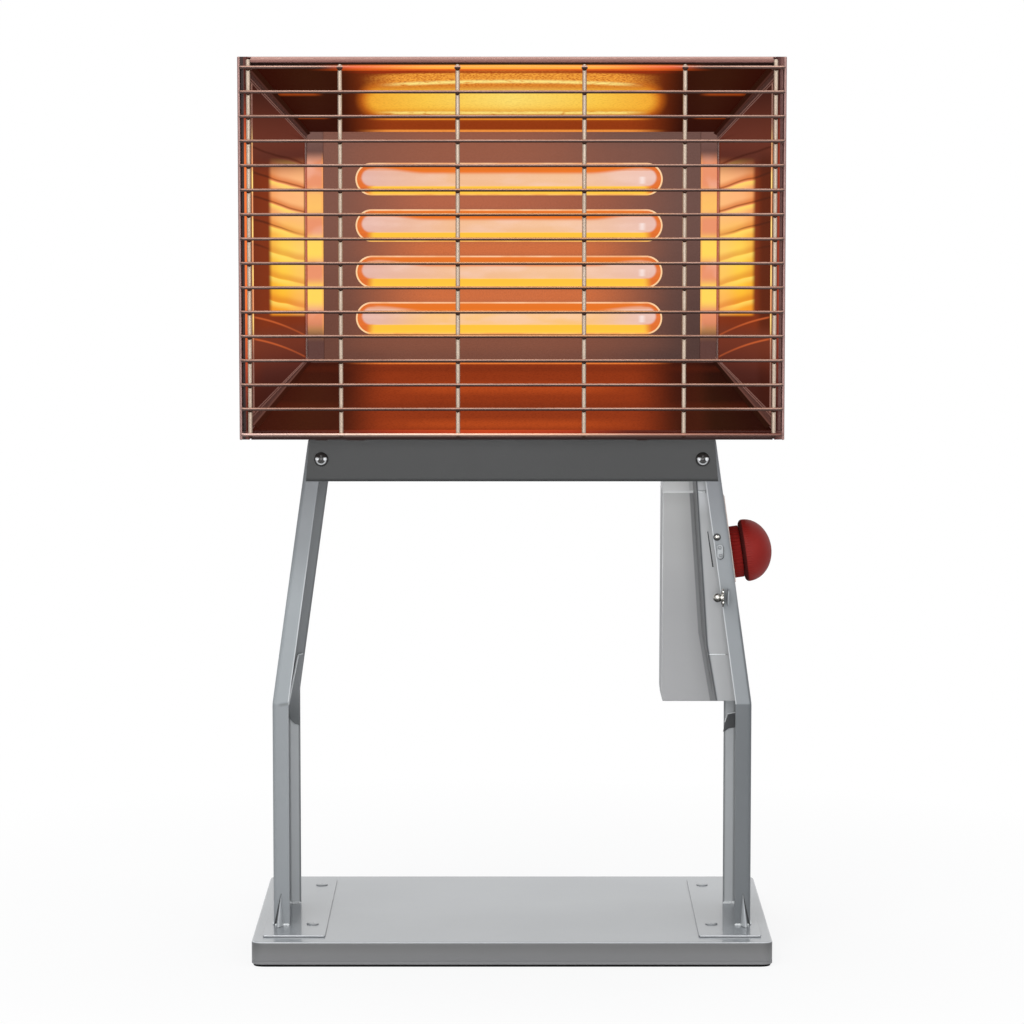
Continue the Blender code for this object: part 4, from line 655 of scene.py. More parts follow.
def side_strip_steel():
    """The strips beside the plate, painted as lit by the elements: pink at each slot's height, yellow between,
    grey past the slots.
    """
    made = stained_steel("side_strip_steel", "32221e", 0.35)
    z = made.z
    between = (0.5 - made.slot_wave() * 0.5) * z.rise(SLOT_ROWS[-1] + 0.004, SLOT_ROWS[-1] - 0.004)
    pale = made.noise(60.0, 1.0).rise(0.45, 0.65) * 0.6
    lit = made.layered(
        made.mix(pale, "e68e64", "eeac92"),
        (between.rise(0.05, 0.95), made.mix(z.rise(0.560, 0.530), "f8ba60", "ffd454")),
        (z.rise(0.474, 0.456) * 0.8, "a0543e"),
        (abs(made.x).rise(0.1424, 0.1410) * 0.5, "f6a050"),
    )
    dull = made.mix(z.rise(0.585, 0.606), "502e28", "66463e")
    return made.glowing(dull, (z.rise(0.452, 0.468) * z.rise(0.596, 0.584), lit))


def slot_plate_steel():
    """The slotted plate, its look painted as light given off: brown-grey with fine grain, a painted warm glow
    in the bars between its slots and about them, and a pale painted line along its top.
    """
    made = stained_steel("slot_plate_steel", "281a16", 0.45, "plate")
    x, z = made.x, made.z
    reach = abs(x - SLOT_CENTRE_X)
    between = made.slot_wave().rise(0.1, -1.0)
    inside = z.band(0.470, 0.575, 0.014) * reach.rise(0.124, 0.050)
    rim_glow = z.band(0.452, 0.594, 0.012) * reach.rise(0.140, 0.100)
    middle = abs(x + 0.028).rise(0.110, 0.020) * z.rise(0.570, 0.592)
    bar = made.layered(
        "ac5e41",
        (z.rise(0.552, 0.528), "ce6b37"),
        (x.rise(-0.02, 0.06) * z.rise(0.535, 0.552) * 0.6, "864c3a"),
    )
    return made.glowing(
        made.mix(reach.rise(0.070, 0.125), "583a32", "40302e"),
        (z.rise(0.446, 0.560), "624842"),
        (middle * 0.6, "8e523c"),
        (rim_glow * 0.30, "88503c"),
        (inside * between * 0.85, bar),
        (z.rise(PLATE_HIGH[2] - 0.0016, PLATE_HIGH[2] - 0.0008) * 0.5, "966e62"),
        (x.rise(0.130, 0.020) * 0.8 + 0.2, (0.075, 0.014, 0.0), "ADD"),
        (made.noise(1300.0, 2.0).rise(0.40, 0.65) * 0.22, "968c88", "MULTIPLY"),
    )


def slot_lip_steel():
    """The rolled lips of the slots, painted as lit by the elements: pale above, yellow below, orange in places.
    """
    made = stained_steel("slot_lip_steel", "3c2214", 0.3, "plate")
    return made.glowing(
        made.mix(made.slot_row().rise(-0.004, 0.008), "fcbe60", "fac496"),
        (made.noise(60.0, 2.0).rise(0.35, 0.65) * 0.45, "e8863a"),
        (abs(made.x - SLOT_CENTRE_X).rise(0.103, 0.108) * 0.8, "fcd6a8"),
    )


def element_glow():
    """The glowing tubes: orange above, a pale rosy core, yellow below, and dull at both ends."""
    made = Finish("element_glow", "element", Base_Color="3c2418", Specular_IOR_Level=0.2)
    turn = made.slot_row()
    reach = abs(made.x - SLOT_CENTRE_X)
    cloud = made.noise(80.0, 3.0, (0.35, 1.0, 1.0))
    along = made.node("MapRange", {}, {0: made.x, 1: -0.110, 2: 0.105})
    core = made.layered(
        along.ramp((0.0, "deb2a6"), (0.3, "ecb88e"), (0.7, "eebe94"), (1.0, "e2baae")),
        (made.z.rise(0.500, 0.480) * reach.rise(0.100, 0.050) * 0.7, "f8c26e"),
        (cloud.rise(0.4, 0.7) * 0.4, "f3d0c2"),
        # A painted white highlight near the right end of each tube.
        (made.x.line(0.0972, 0.0036) * turn.band(-0.0030, 0.0010, 0.0012) * 0.7, "f6e8e4"),
    )
    return made.glowing(slot_light(made, turn, reach, core)).set(Roughness=0.4 + cloud * 0.2)


def slot_light(made, turn, reach, core):
    """What a slot shows: the core as a soft round-ended bar, orange above it and about its ends, and
    yellow below. Towards the middle the orange comes further down."""
    lifted = turn - reach.rise(0.060, 0.100) * 0.0035
    away = (reach - 0.1035).math("MAXIMUM", 0.0).apart(turn - 0.0010)
    return made.layered(
        core,
        (lifted.rise(0.0026, 0.0056), "e47428"),
        (reach.rise(0.098, 0.104) * away.rise(0.0052, 0.0074), "de7032"),
        (turn.rise(-0.0050, -0.0062) * reach.rise(0.108, 0.100), "fdc440"),
    )


def trough_glow():
    """The galvanised trough behind the tubes, painted as lit orange above each one and yellow below it."""
    made = stained_steel("trough_glow", "28140a", 0.5, "galvanised")
    return made.glowing(slot_light(made, made.slot_row(), abs(made.x - SLOT_CENTRE_X), "e8aa8c"))


def fold_steel():
    """The folds beside the strips: a painted dull red glow where the elements' light reaches, grey and pale
    above it.
    """
    made = stained_steel("fold_steel", "78605a", 0.3)
    tall = made.z.rise(0.450, 0.480) * made.z.rise(0.592, 0.578)
    return made.glowing("160e0c", (tall, "963a16"))


def edge_fold_steel():
    """The turned edge inside each post, painted as lit: yellow-orange at the slots' heights and pink past them.
    """
    made = stained_steel("edge_fold_steel", "785a50", 0.3)
    lit = made.mix(made.slot_wave().rise(-0.5, 0.8), "e29660", "ffd678")
    tall = made.z.rise(0.440, 0.480) * made.z.rise(0.620, 0.585)
    return made.glowing("704e44", (tall, lit))


def seam_edge_steel():
    """The rolled lines along the corner seams, painted bright as light given off."""
    made = stained_steel("seam_edge_steel", "82625a", 0.3)
    return made.glowing("3c2622", (made.noise(60.0), "684a44"))


def seam_steel():
    """The corner seams: pinkish grey metal with fine lines along them, their look painted as light given off,
    dimmer on the upper seams.
    """
    made = stained_steel("seam_steel", "60443e", 0.4)
    return made.glowing("341e1a", (made.z.rise(0.50, 0.54), "1e100e"))


def nickel_wire():
    """Nickelled wire: pale on top and painted dark brown beneath as shade, less so towards the ends; a
    painted orange reflection where the wires cross the glow, painted light and shade along the lowest wire,
    and a painted glow where the top wire lies over the lit lip."""
    made = Finish("nickel_wire", "guard_wire", Metallic=0.4)
    z, reach = made.z, abs(made.x)
    # Painted shade on the wires' undersides.
    under = made.facing_z.rise(0.50, 0.12)
    lowest = z.rise(GUARD_LOW[2] + 0.0042, GUARD_LOW[2] + 0.0034)
    across = (made.x / (2.0 * POST_HIGH[0]) + 0.5).ramp(
        (0.0, "e2bcb0"), (0.30, "ffe0cc"), (0.55, "fac8aa"),
        (0.75, "be8672"), (1.0, "6e3c30"),
    )
    top = z.rise(GUARD_HIGH[2] - 0.0100, GUARD_HIGH[2] - 0.0090) * reach.rise(0.140, 0.110)
    for place in GUARD_COLUMNS[1:-1]:
        top = top * abs(made.x - place).rise(0.0019, 0.0025)
    tone = made.layered(
        "c09886",
        (made.noise(18.0, 3.0).rise(0.35, 0.7), "a87e6c"),
        (reach.rise(0.125, 0.090) * z.band(0.462, 0.582, 0.006) * 0.55, "e8a054"),
        (under * 0.97, "280e08"),
        (reach.rise(0.150, 0.180) * under * 0.3, "6e544c"),
        (lowest * (1.0 - under * 0.75), across),
        (top * 0.9, "5a1e0c"),
    )
    made.set(Base_Color=tone, Roughness=0.42 + made.noise(90.0, 3.0) * 0.12)
    return made.glowing("000000", (top, made.mix(reach.rise(0.120, 0.050), "d6541e", "faa82e")))


def column_nickel():
    """The upright wires: brighter nickel, straw-toned, and painted shade along both sides."""
    made = Finish("column_nickel", "guard_wire", Metallic=0.3)
    cloud = made.noise(30.0, 3.0)
    tone = made.mix(cloud, "baa896", "a69280")
    # Painted shade along the sides that turn away from the front.
    tone = made.mix(made.facing_y.rise(-0.60, -0.15) * 0.8, tone, "5c3e2e")
    return made.set(Base_Color=tone, Roughness=0.32 + cloud * 0.1)


def bright_metal(name, slot, colour, rough, scale=500.0, metallic=1.0):
    """Plated metal with fine scratches and a few dull patches."""
    made = Finish(name, slot, Metallic=metallic)
    scratch = made.noise(scale, 4.0, (1.0, 0.2, 1.0))
    patch = made.noise(120.0, 3.0).rise(0.45, 0.7)
    rough = rough + patch * 0.12 + (scratch - 0.5) * 0.1
    tone = made.mix(patch * 0.5, colour, scaled(0.7, colour))
    return made.set(Base_Color=tone, Roughness=rough, Normal=made.bump(scratch, 0.08))


def chrome():
    """Chrome screws with painted reflections of the dark head: dark but for a painted bright spot on each side
    and a painted crescent below.
    """
    made = bright_metal("chrome", "chrome", "e8eaec", 0.14, metallic=0.4)
    middle, size = middle_and_size("right_cross_plate_screw")
    radius = size[0] / 2
    out = abs((abs(made.x) - middle[0]) / radius)
    up = (made.z - middle[2]) / radius
    # Painted reflections: only a crescent below and a spot each side stay bright.
    crescent = out.apart(up).band(0.60, 0.66, 0.10) * up.rise(0.15, -0.05) * 0.65
    spots = (out - 0.55).apart(up - 0.10).rise(0.32, 0.14)
    return made.repainted((1.0 - crescent.math("MAXIMUM", spots), "424140"))


def small_zinc():
    """The leg's small hardware: brighter plating, and painted shade wherever it looks down."""
    made = bright_metal("small_zinc", "zinc_steel", "c4c2bc", 0.16)
    # Painted shade on faces that look down.
    return made.repainted((made.facing_z.rise(0.15, -0.35) * 0.85, "2e2c28"))


def red_plastic():
    """Moulded red plastic, satin with a fine spark-eroded grain, and painted shade on the ribbed ring."""
    made = Finish("red_knob_plastic", "red_plastic", Specular_IOR_Level=0.22)
    grain = made.noise(2200.0, 2.0)
    along = (made.x - KNOB_CENTRE[0]) * KNOB_AXIS[0] + (made.z - KNOB_CENTRE[2]) * KNOB_AXIS[2]
    ring = along.rise(0.0121, 0.0112)
    dome = along.rise(0.0089, 0.0093)
    tone = made.layered(
        "88180e",
        (made.noise(60.0, 3.0), "76100b"),
        # Painted shade on the ribbed ring.
        (ring * dome * 0.95, "3a0403"),
        ((1.0 - dome) * 0.8, "7a0f09"),
        (made.edges(0.0004, 0.01, 0.3) * 0.35, "aa382c"),
    )
    return made.set(Base_Color=tone, Roughness=0.46 + grain * 0.12 + ring * 0.30, Normal=made.bump(grain, 0.14))


def ceramic():
    """Unglazed white ceramic, a little speckled and chalky."""
    made = Finish("ceramic", "white_ceramic")
    speck = made.flecks(700.0).rise(0.16, 0.05)
    tone = made.layered("e8e2d6", (made.noise(40.0, 4.0), "cec4b4"), (speck * 0.5, "a09280"))
    return made.set(Base_Color=tone, Roughness=0.5 + speck * 0.2, Normal=made.bump(made.noise(600.0), 0.2))


def rubber():
    """Black rubber with a dusty bloom."""
    made = Finish("mat_rubber", "black_rubber", Specular_IOR_Level=0.15)
    bloom = made.noise(90.0, 4.0).rise(0.45, 0.75)
    made.set(Base_Color=made.mix(bloom * 0.4, "090909", "1a1a1b"))
    return made.set(Roughness=0.65 + bloom * 0.15, Normal=made.bump(made.noise(1200.0), 0.25, 0.0003))


def black_plastic():
    """The black mouldings: slightly cloudy, with a fine grain."""
    made = Finish("black_moulding", "black_plastic")
    grain = made.noise(1500.0, 2.0)
    made.set(Base_Color=made.mix(made.noise(50.0), "1e1e20", "2c2c2e"))
    return made.set(Roughness=0.42 + grain * 0.15, Normal=made.bump(grain, 0.2))


def dial_enamel():
    """The dial plate's pinkish cream, a little yellowed."""
    made = Finish("dial_enamel", "dial_plastic")
    cloud = made.noise(45.0, 4.0)
    tone = made.layered("decec6", (cloud, "cebcb2"), (made.edges(0.0004) * 0.5, "b0968c"))
    return made.set(Base_Color=tone, Roughness=0.38 + cloud * 0.1, Normal=made.bump(made.noise(1100.0), 0.08))


def ink():
    """The dial's dark print, thinned in places."""
    made = Finish("dial_ink", "dial_plastic", Roughness=0.6)
    return made.set(Base_Color=made.mix(made.noise(900.0), "262222", "4a4442"))


# Shapes


def grid(x, y, z):
    """Points from coordinates that are spread over one another."""
    return np.stack(np.broadcast_arrays(x, y, z), axis=-1)


def outline_normals(outline, closed=True):
    """At each point the outward normal, longer at a corner so that an offset keeps its distance."""
    after = np.roll(outline, -1, axis=0) - outline
    if not closed:
        after[-1] = after[-2]
    after = after / np.linalg.norm(after, axis=1, keepdims=True)
    before = np.roll(after, 1, axis=0)
    if not closed:
        before[0] = after[0]
    first = np.stack([before[:, 1], -before[:, 0]], axis=1)
    second = np.stack([after[:, 1], -after[:, 0]], axis=1)
    return (first + second) / (1.0 + np.sum(first * second, axis=1, keepdims=True))


def drawn_in(outline, insets):
    """One ring of the outline for each inset, drawn in by it."""
    outline = np.asarray(outline, float)
    return outline[None] - outline_normals(outline)[None] * np.asarray(insets, float)[:, None, None]


def rounded(points, reach, steps=5, closed=True):
    """Corners drawn as quadratic curves that leave and meet the sides at reach from each corner."""
    points = np.asarray(points, float)
    reach = np.broadcast_to(np.asarray(reach, float), len(points))[:, None]
    to_last = np.roll(points, 1, axis=0) - points
    to_next = np.roll(points, -1, axis=0) - points
    start = points + to_last / np.linalg.norm(to_last, axis=1, keepdims=True) * reach
    end = points + to_next / np.linalg.norm(to_next, axis=1, keepdims=True) * reach
    t = np.linspace(0.0, 1.0, steps)[None, :, None]
    curve = (1 - t) ** 2 * start[:, None] + 2 * t * (1 - t) * points[:, None] + t**2 * end[:, None]
    if closed:
        return curve.reshape(-1, 2)
    return np.concatenate([points[:1], curve[1:-1].reshape(-1, 2), points[-1:]])


def rectangle(low, high):
    """The four corners of a box in a plane, anticlockwise."""
    return np.array([[low[0], low[1]], [high[0], low[1]], [high[0], high[1]], [low[0], high[1]]])


def stadium(centre, length, height, steps=24):
    """A slot's outline: two half circles, and the straights between them."""
    angle = np.linspace(-math.pi / 2, math.pi / 2, steps)
    half = np.stack([np.cos(angle), np.sin(angle)], axis=1) * height / 2
    reach = np.array([length / 2 - height / 2, 0.0])
    return np.concatenate([half + reach, -half - reach]) + np.asarray(centre)


def thickened(path, thickness):
    """The closed outline of a sheet that follows an open path, half its thickness to each side."""
    path = np.asarray(path, float)
    away = outline_normals(path, closed=False) * thickness / 2
    return np.concatenate([path + away, (path - away)[::-1]])


def quarter(steps):
    """A quarter circle of radius 1 that starts level with the face, as (depth, inset)."""
    angle = np.linspace(0.0, math.pi / 2, steps)
    return np.stack([1 - np.cos(angle), 1 - np.sin(angle)], axis=1)


def rim(depth, radius, steps=4):
    """Levels of a slab from its face to its back, as (depth, inset): both edges rounded, and a flat
    border on each face."""
    front = np.concatenate([[[0.0, radius * 1.5 + 0.0001]], radius * quarter(steps)])
    return np.concatenate([front, front[::-1] * [-1.0, 1.0] + [depth, 0.0]])


def laid(flat, height, plane):
    """Points (first, second) in a plane at a height along the third axis."""
    return grid(flat[..., 0], flat[..., 1], height)[..., PLANES[plane]]


def slab(outline, levels, start, plane="XY", sign=1.0):
    """Outline rings, each drawn in by its level's inset and set at start plus its depth."""
    depth, inset = np.asarray(levels, float).T
    return laid(drawn_in(outline, inset), start + sign * depth[:, None], plane)


def axes_about(axis):
    """Two directions square to an axis and to each other."""
    axis = np.asarray(axis, float)
    axis = axis / np.linalg.norm(axis)
    helper = np.array([0.0, 1.0, 0.0]) if abs(axis[1]) < 0.9 else np.array([1.0, 0.0, 0.0])
    first = np.cross(helper, axis)
    first /= np.linalg.norm(first)
    return first, np.cross(axis, first), axis


def lathe(profile, place, axis, sides=32):
    """A turned surface: each (radius, height) of the profile carried round the axis."""
    radius, height = np.asarray(profile, float).T[..., None, None]
    first, second, along = axes_about(axis)
    angle = np.linspace(0.0, 2 * math.pi, sides, endpoint=False)[None, :, None]
    spokes = np.cos(angle) * first + np.sin(angle) * second
    return np.asarray(place) + radius * spokes + height * along


def dome_profile(radius, height, steps=8):
    """A quarter ellipse from the tip out to the rim."""
    angle = np.linspace(0.0, math.pi / 2, steps)
    return np.stack([radius * np.sin(angle), height * np.cos(angle)], axis=1)


def screw_head(place, axis, diameter, height, recess=0.0006, sides=48):
    """A domed head with a cross recess: the dome less recess times a soft-armed cross near its middle."""
    radius = diameter / 2
    share = np.concatenate([np.linspace(0.0, 0.62, 12), np.linspace(0.68, 1.0, 8)])[:, None]
    angle = np.linspace(0.0, 2 * math.pi, sides, endpoint=False)[None]
    r = radius * share
    dome = height * np.sqrt(np.clip(1.0 - share**2, 0.0, 1.0))
    arm = radius * 0.13
    wall_shade = np.minimum(np.abs(r * np.cos(angle)), np.abs(r * np.sin(angle)))
    cross = np.clip((arm - wall_shade) / (arm * 0.4), 0.0, 1.0) * np.clip((0.58 - share) / 0.10, 0.0, 1.0)
    first, second, along = axes_about(axis)
    spread = (r * np.cos(angle))[..., None] * first + (r * np.sin(angle))[..., None] * second
    face = np.asarray(place) + spread + (dome - recess * cross)[..., None] * along
    return np.concatenate([face, face[-1:] - 0.0002 * along])


def tube(path, radius, flat_axis, sides=14):
    """A round wire on a path in one plane: rings on its normal and the plane's own axis."""
    path = np.asarray(path, float)
    flat_axis = np.asarray(flat_axis, float)
    along = np.gradient(path, axis=0)
    along /= np.linalg.norm(along, axis=1, keepdims=True)
    across = np.cross(flat_axis, along)
    angle = np.linspace(0.0, 2 * math.pi, sides, endpoint=False)
    radius = np.broadcast_to(np.asarray(radius, float), len(path))[:, None, None]
    ring = np.cos(angle)[None, :, None] * across[:, None] + np.sin(angle)[None, :, None] * flat_axis
    return path[:, None] + radius * ring


def round_ended(stations, radius, soft):
    """A radius at each station that closes in a half circle over the soft length at both ends."""
    start = np.clip((stations - stations[0]) / soft, 0.0, 1.0)
    end = np.clip((stations[-1] - stations) / soft, 0.0, 1.0)
    return radius * np.sqrt(np.clip(1.0 - (1.0 - np.minimum(start, end)) ** 2, 0.0, 1.0))


def bead(start, end, radius, flat_axis=(0, 1, 0)):
    """A weld bead: a tube between two points whose radius ripples along it and closes at both ends."""
    start, end = np.asarray(start, float), np.asarray(end, float)
    length = np.linalg.norm(end - start)
    t = np.linspace(0.0, 1.0, 60)
    ripple = 1.0 + 0.10 * np.sin(t * length / 0.0011 * 2 * math.pi / 2)
    path = start + (end - start) * t[:, None]
    return tube(path, round_ended(t * length, radius, radius * 1.5) * ripple, flat_axis, 10)


def solid(points, around=True, looped=False):
    """The faces of a grid of points: rows joined in strips, closed round each row when around is
    set, the last row joined to the first when looped, and otherwise both ends capped."""
    rows, columns = points.shape[:2]
    index = np.arange(rows * columns).reshape(rows, columns)
    if looped:
        index = np.concatenate([index, index[:1]])
    if around:
        index = np.concatenate([index, index[:, :1]], axis=1)
    quads = np.stack([index[:-1, :-1], index[:-1, 1:], index[1:, 1:], index[1:, :-1]], axis=-1)
    faces = quads.reshape(-1, 4).tolist()
    if around and not looped:
        faces.append(np.arange(columns)[::-1].tolist())
        faces.append((np.arange(columns) + (rows - 1) * columns).tolist())
    return points.reshape(-1, 3), faces


def merged(mesh, flattened=False):
    """A mesh with its doubles merged, its flat faces joined where asked, and all turned outwards."""
    shell = bmesh.new()
    shell.from_mesh(mesh)
    bmesh.ops.remove_doubles(shell, verts=shell.verts, dist=1e-6)
    if flattened:
        bmesh.ops.dissolve_limit(shell, angle_limit=math.radians(1.0), verts=shell.verts, edges=shell.edges)
    bmesh.ops.recalc_face_normals(shell, faces=shell.faces)
    shell.to_mesh(mesh)
    shell.free()
    return mesh


def drawn_mesh(curve, placed):
    """A flat curve or text as a closed mesh, its points put where the function places them."""
    source = bpy.data.objects.new(curve.name, curve)
    bpy.context.scene.collection.objects.link(source)
    bpy.context.view_layer.update()
    graph = bpy.context.evaluated_depsgraph_get()
    mesh = bpy.data.meshes.new_from_object(source.evaluated_get(graph))
    bpy.data.objects.remove(source)
    flat = np.zeros(len(mesh.vertices) * 3)
    mesh.vertices.foreach_get("co", flat)
    mesh.vertices.foreach_set("co", placed(*flat.reshape(-1, 3).T).ravel())
    return merged(mesh)


def finished(name, mesh, finish, node, body, angle):
    """The object of a mesh: shaded, painted, riding on its body and standing for its node."""
    mesh.name = name
    mesh.shade_smooth()
    mesh.set_sharp_from_angle(angle=math.radians(angle))
    mesh.materials.clear()
    mesh.materials.append(finish.material)
    made = bpy.data.objects.new(name, mesh)
    bpy.context.scene.collection.objects.link(made)
    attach(made, body)
    if node:
        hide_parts(node)
    return made


def piece(name, shells, finish, node="", body="stand", angle=40):
    """One object from closed shells, each a grid of points or a ready pair of points and faces."""
    whole = bmesh.new()
    for shell in shells:
        points, faces = shell if isinstance(shell, tuple) else solid(shell)
        part = bpy.data.meshes.new("shell")
        part.from_pydata(points.tolist(), [], faces)
        whole.from_mesh(merged(part))
        bpy.data.meshes.remove(part)
    mesh = bpy.data.meshes.new(name)
    whole.to_mesh(mesh)
    whole.free()
    return finished(name, mesh, finish, node, body, angle)


def head_piece(name, shells, finish, node=""):
    """A piece that rides on the head."""
    return piece(name, shells, finish, node, "head")


def softened(node, finish, width=0.0003):
    """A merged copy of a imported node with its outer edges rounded."""
    source = frame["nodes"][node]
    mesh = merged(source.data.copy(), flattened=True)
    made = finished(node + "_soft", mesh, finish, node, source["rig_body"], 35)
    edge = made.modifiers.new("edge", "BEVEL")
    edge.width = width
    edge.segments = 2
    edge.limit_method = "ANGLE"
    edge.angle_limit = math.radians(40)


def repaint(node, finish):
    """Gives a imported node, whose shape stays, its finish."""
    materials = frame["nodes"][node].data.materials
    materials.clear()
    materials.append(finish.material)


def leg_x(z):
    """The leg's outer face at a height: straight up to the bend, then leaning in, with a soft knee."""
    above = z - LEG_BEND_Z
    return LEG_FOOT_X - (above + np.sqrt(above**2 + 0.0012**2)) / 2 * LEG_LEAN


def housing_x(z):
    """The switch housing's inner wall at a height, straight above its knee and straight below it."""
    return np.interp(z, [BRIDGE_FOOT_Z, HOUSING_KNEE_Z, HOUSING_TOP_Z], [0.15206, 0.14467, 0.13645])


# The stand


def make_base(paint):
    """The tray as rings of its outline, with a hem under its edge, and the mat inside the hem."""
    foot, top = BASE_LOW[2], BASE_HIGH[2]
    half = (BASE_HIGH - BASE_LOW)[:2] / 2
    outline = rounded(rectangle(-half, half), 0.0085, 9)
    crown = [top, 0.0] + 0.0013 * quarter(7)[:, ::-1] * [-1.0, 1.0]
    skirt = [(foot, 0.0012), (foot + 0.0004, 0.0003), (foot + 0.0012, 0.0), (foot + 0.0060, 0.0)]
    tray = slab(outline, [*skirt, *crown, (top, 0.0034)], 0.0)
    hem = [(0.0006, 0.0), (-0.0012, 0.0), (-0.0015, 0.0003), (-0.0012, 0.0009), (0.0006, 0.0009)]
    piece("base_tray", [tray, solid(slab(outline, hem, foot), looped=True)], paint, "base_plate")
    half = (MAT_HIGH - MAT_LOW)[:2] / 2
    mat = slab(rounded(rectangle(-half, half), 0.009, 9), rim(MAT_HIGH[2], 0.0001), 0.0)
    piece("rubber_mat", [mat], rubber(), "base_rubber_mat")


def make_foot_plates(paint):
    """A rounded plate at each foot and two low screws in it, each in a raised ring."""
    for side, _ in LEFT_AND_RIGHT:
        low, high = corners(f"{side}_foot_plate")
        outline = rounded(rectangle(low[:2], high[:2]), 0.002, 5)
        plate = slab(outline, rim(high[2] - low[2], 0.0003), high[2], sign=-1.0)
        piece(f"{side}_floor_plate", [plate], paint, f"{side}_foot_plate")
        for end in ("front", "rear"):
            node = f"{side}_foot_screw_{end}"
            middle, size = middle_and_size(node)
            seat = (middle[0], middle[1], corners(node)[1][2] - 0.0014)
            head = screw_head(seat, (0, 0, 1), size[0], 0.0006, 0.0006)
            ring = [(0.0, -0.0002), (0.0044, -0.0002), (0.0045, 0.0003), (0.0040, 0.0005), (0.0, 0.0004)]
            piece(f"{side}_floor_screw_{end}", [head, lathe(ring, seat, (0, 0, 1), 40)], paint, node)


def leg_shells(sign):
    """A leg's bent sheet: its section carried up the heights, at x = leg_x(z) less the way inwards. The
    full channel runs to the relief, its front flange wider at the top, and the front tab above it."""
    front, rear, web = LEG_FRONT_Y + LEG_SHEET / 2, LEG_REAR_Y - LEG_SHEET / 2, LEG_SHEET / 2
    paths = [
        [(FRONT_FLANGE, front), (web, front), (web, rear), (REAR_FLANGE, rear)],
        [(LUG_FLANGE, front), (web, front), (web, TAB_END_Y)],
    ]
    channel, tab = (thickened(rounded(path, LEG_BEND_REACH, 6, closed=False), LEG_SHEET) for path in paths)
    knee = LEG_BEND_Z + np.array([-0.0040, -0.0020, -0.0010, 0.0, 0.0010, 0.0020, 0.0040])
    heights = np.array([LEG_LOW[2], 0.10, *knee, 0.27, LUG_LOW_Z, LUG_LOW_Z + LUG_TAPER, RELIEF_Z])[:, None]
    on_edge = (channel[:, 0] > FRONT_FLANGE - 0.0002) & (channel[:, 1] < LEG_FRONT_Y + 0.01)
    wider = np.interp(heights, [LUG_LOW_Z, LUG_LOW_Z + LUG_TAPER], [0.0, LUG_FLANGE - FRONT_FLANGE])
    tall = np.array([RELIEF_Z, LEG_HIGH[2]])[:, None]
    return [
        grid(sign * (leg_x(heights) - (channel[:, 0] + wider * on_edge)), channel[:, 1], heights),
        grid(sign * (leg_x(tall) - tab[:, 0]), tab[:, 1], tall),
    ]


def make_legs(paint, light, shade):
    """Both legs, the right one with the earth terminal's tab, their foot welds in pale paint as painted
    highlights, and a dark sheet of painted shade with a painted pale rim where the right leg's bend
    leaves a pocket."""
    foot_z = LEG_LOW[2] + 0.0003
    outer = LEG_FOOT_X - 0.001
    front, rear = LEG_FRONT_Y - 0.0003, LEG_REAR_Y - 0.0018
    welds = [
        ((outer, front), (LEG_FOOT_X - FRONT_FLANGE, front), 0.0010, (0, 1, 0)),
        ((outer, rear), (LEG_FOOT_X - REAR_FLANGE, rear), 0.0014, (0, 1, 0)),
        ((outer + 0.001, LEG_FRONT_Y + 0.003), (outer + 0.001, LEG_REAR_Y - 0.003), 0.0009, (1, 0, 0)),
    ]
    for side, sign in LEFT_AND_RIGHT:
        shells = leg_shells(sign)
        if side == "right":
            middle, _ = middle_and_size("earth_screw")
            low = middle[1:] - 0.006
            tab = rectangle(low, (LEG_FRONT_Y + 0.0008, low[1] + 0.012))
            start = corners("earth_screw")[1][0] + 0.0003
            tab = rounded(tab, [0.002, 0.0006, 0.0006, 0.002])
            shells.append(slab(tab, rim(0.0012, 0.0002), start, "YZ"))
        piece(f"{side}_bent_leg", shells, paint, f"{side}_leg")
        beads = [bead((a[0] * sign, a[1], foot_z), (b[0] * sign, b[1], foot_z), *size) for a, b, *size in welds]
        piece(f"{side}_foot_welds", beads, light)
    pocket = [(0.1609, 0.1530), (0.1655, 0.1560), (0.1702, 0.1566), (0.1702, 0.1680), (0.1645, 0.1668),
              (0.1623, 0.1601)]
    piece("bend_pocket", [slab(rounded(pocket, 0.0008, 4), rim(0.0006, 0.0002), 0.0086, "XZ")], shade)
    pocket_rim = [bead((0.1643, 0.0084, 0.1672), (0.1704, 0.0084, 0.1684), 0.0005),
                  bead((0.1622, 0.0084, 0.1606), (0.1642, 0.0084, 0.1668), 0.0004)]
    piece("bend_pocket_rim", pocket_rim, light)


def rib_shell(sign):
    """A pressed rib at a leg's foot. At a share t of the way down, its front runs from an outer to an
    inner edge, both linear in t, and stands out by t times a curve that rises steeply and falls slowly."""
    t = np.linspace(0.02, 1.0, 16)[:, None]
    s = np.linspace(0.0, 1.0, 17)[None]
    outer, inner = 0.1722 + 0.0038 * t, 0.1722 - 0.0016 * t
    fall = np.cos((s - 0.24) / 0.76 * math.pi / 2) ** 0.8
    stand_out = np.where(s < 0.24, np.sin(s / 0.24 * math.pi / 2), fall)
    y = LEG_FRONT_Y - 0.0003 - 0.0088 * t * stand_out
    front = grid(sign * (outer + (inner - outer) * s), y, LEG_LOW[2] + 0.0240 * (1 - t))
    return np.concatenate([front, front[:, [-1, 0]] + [0.0, 0.0008, 0.0]], axis=1)


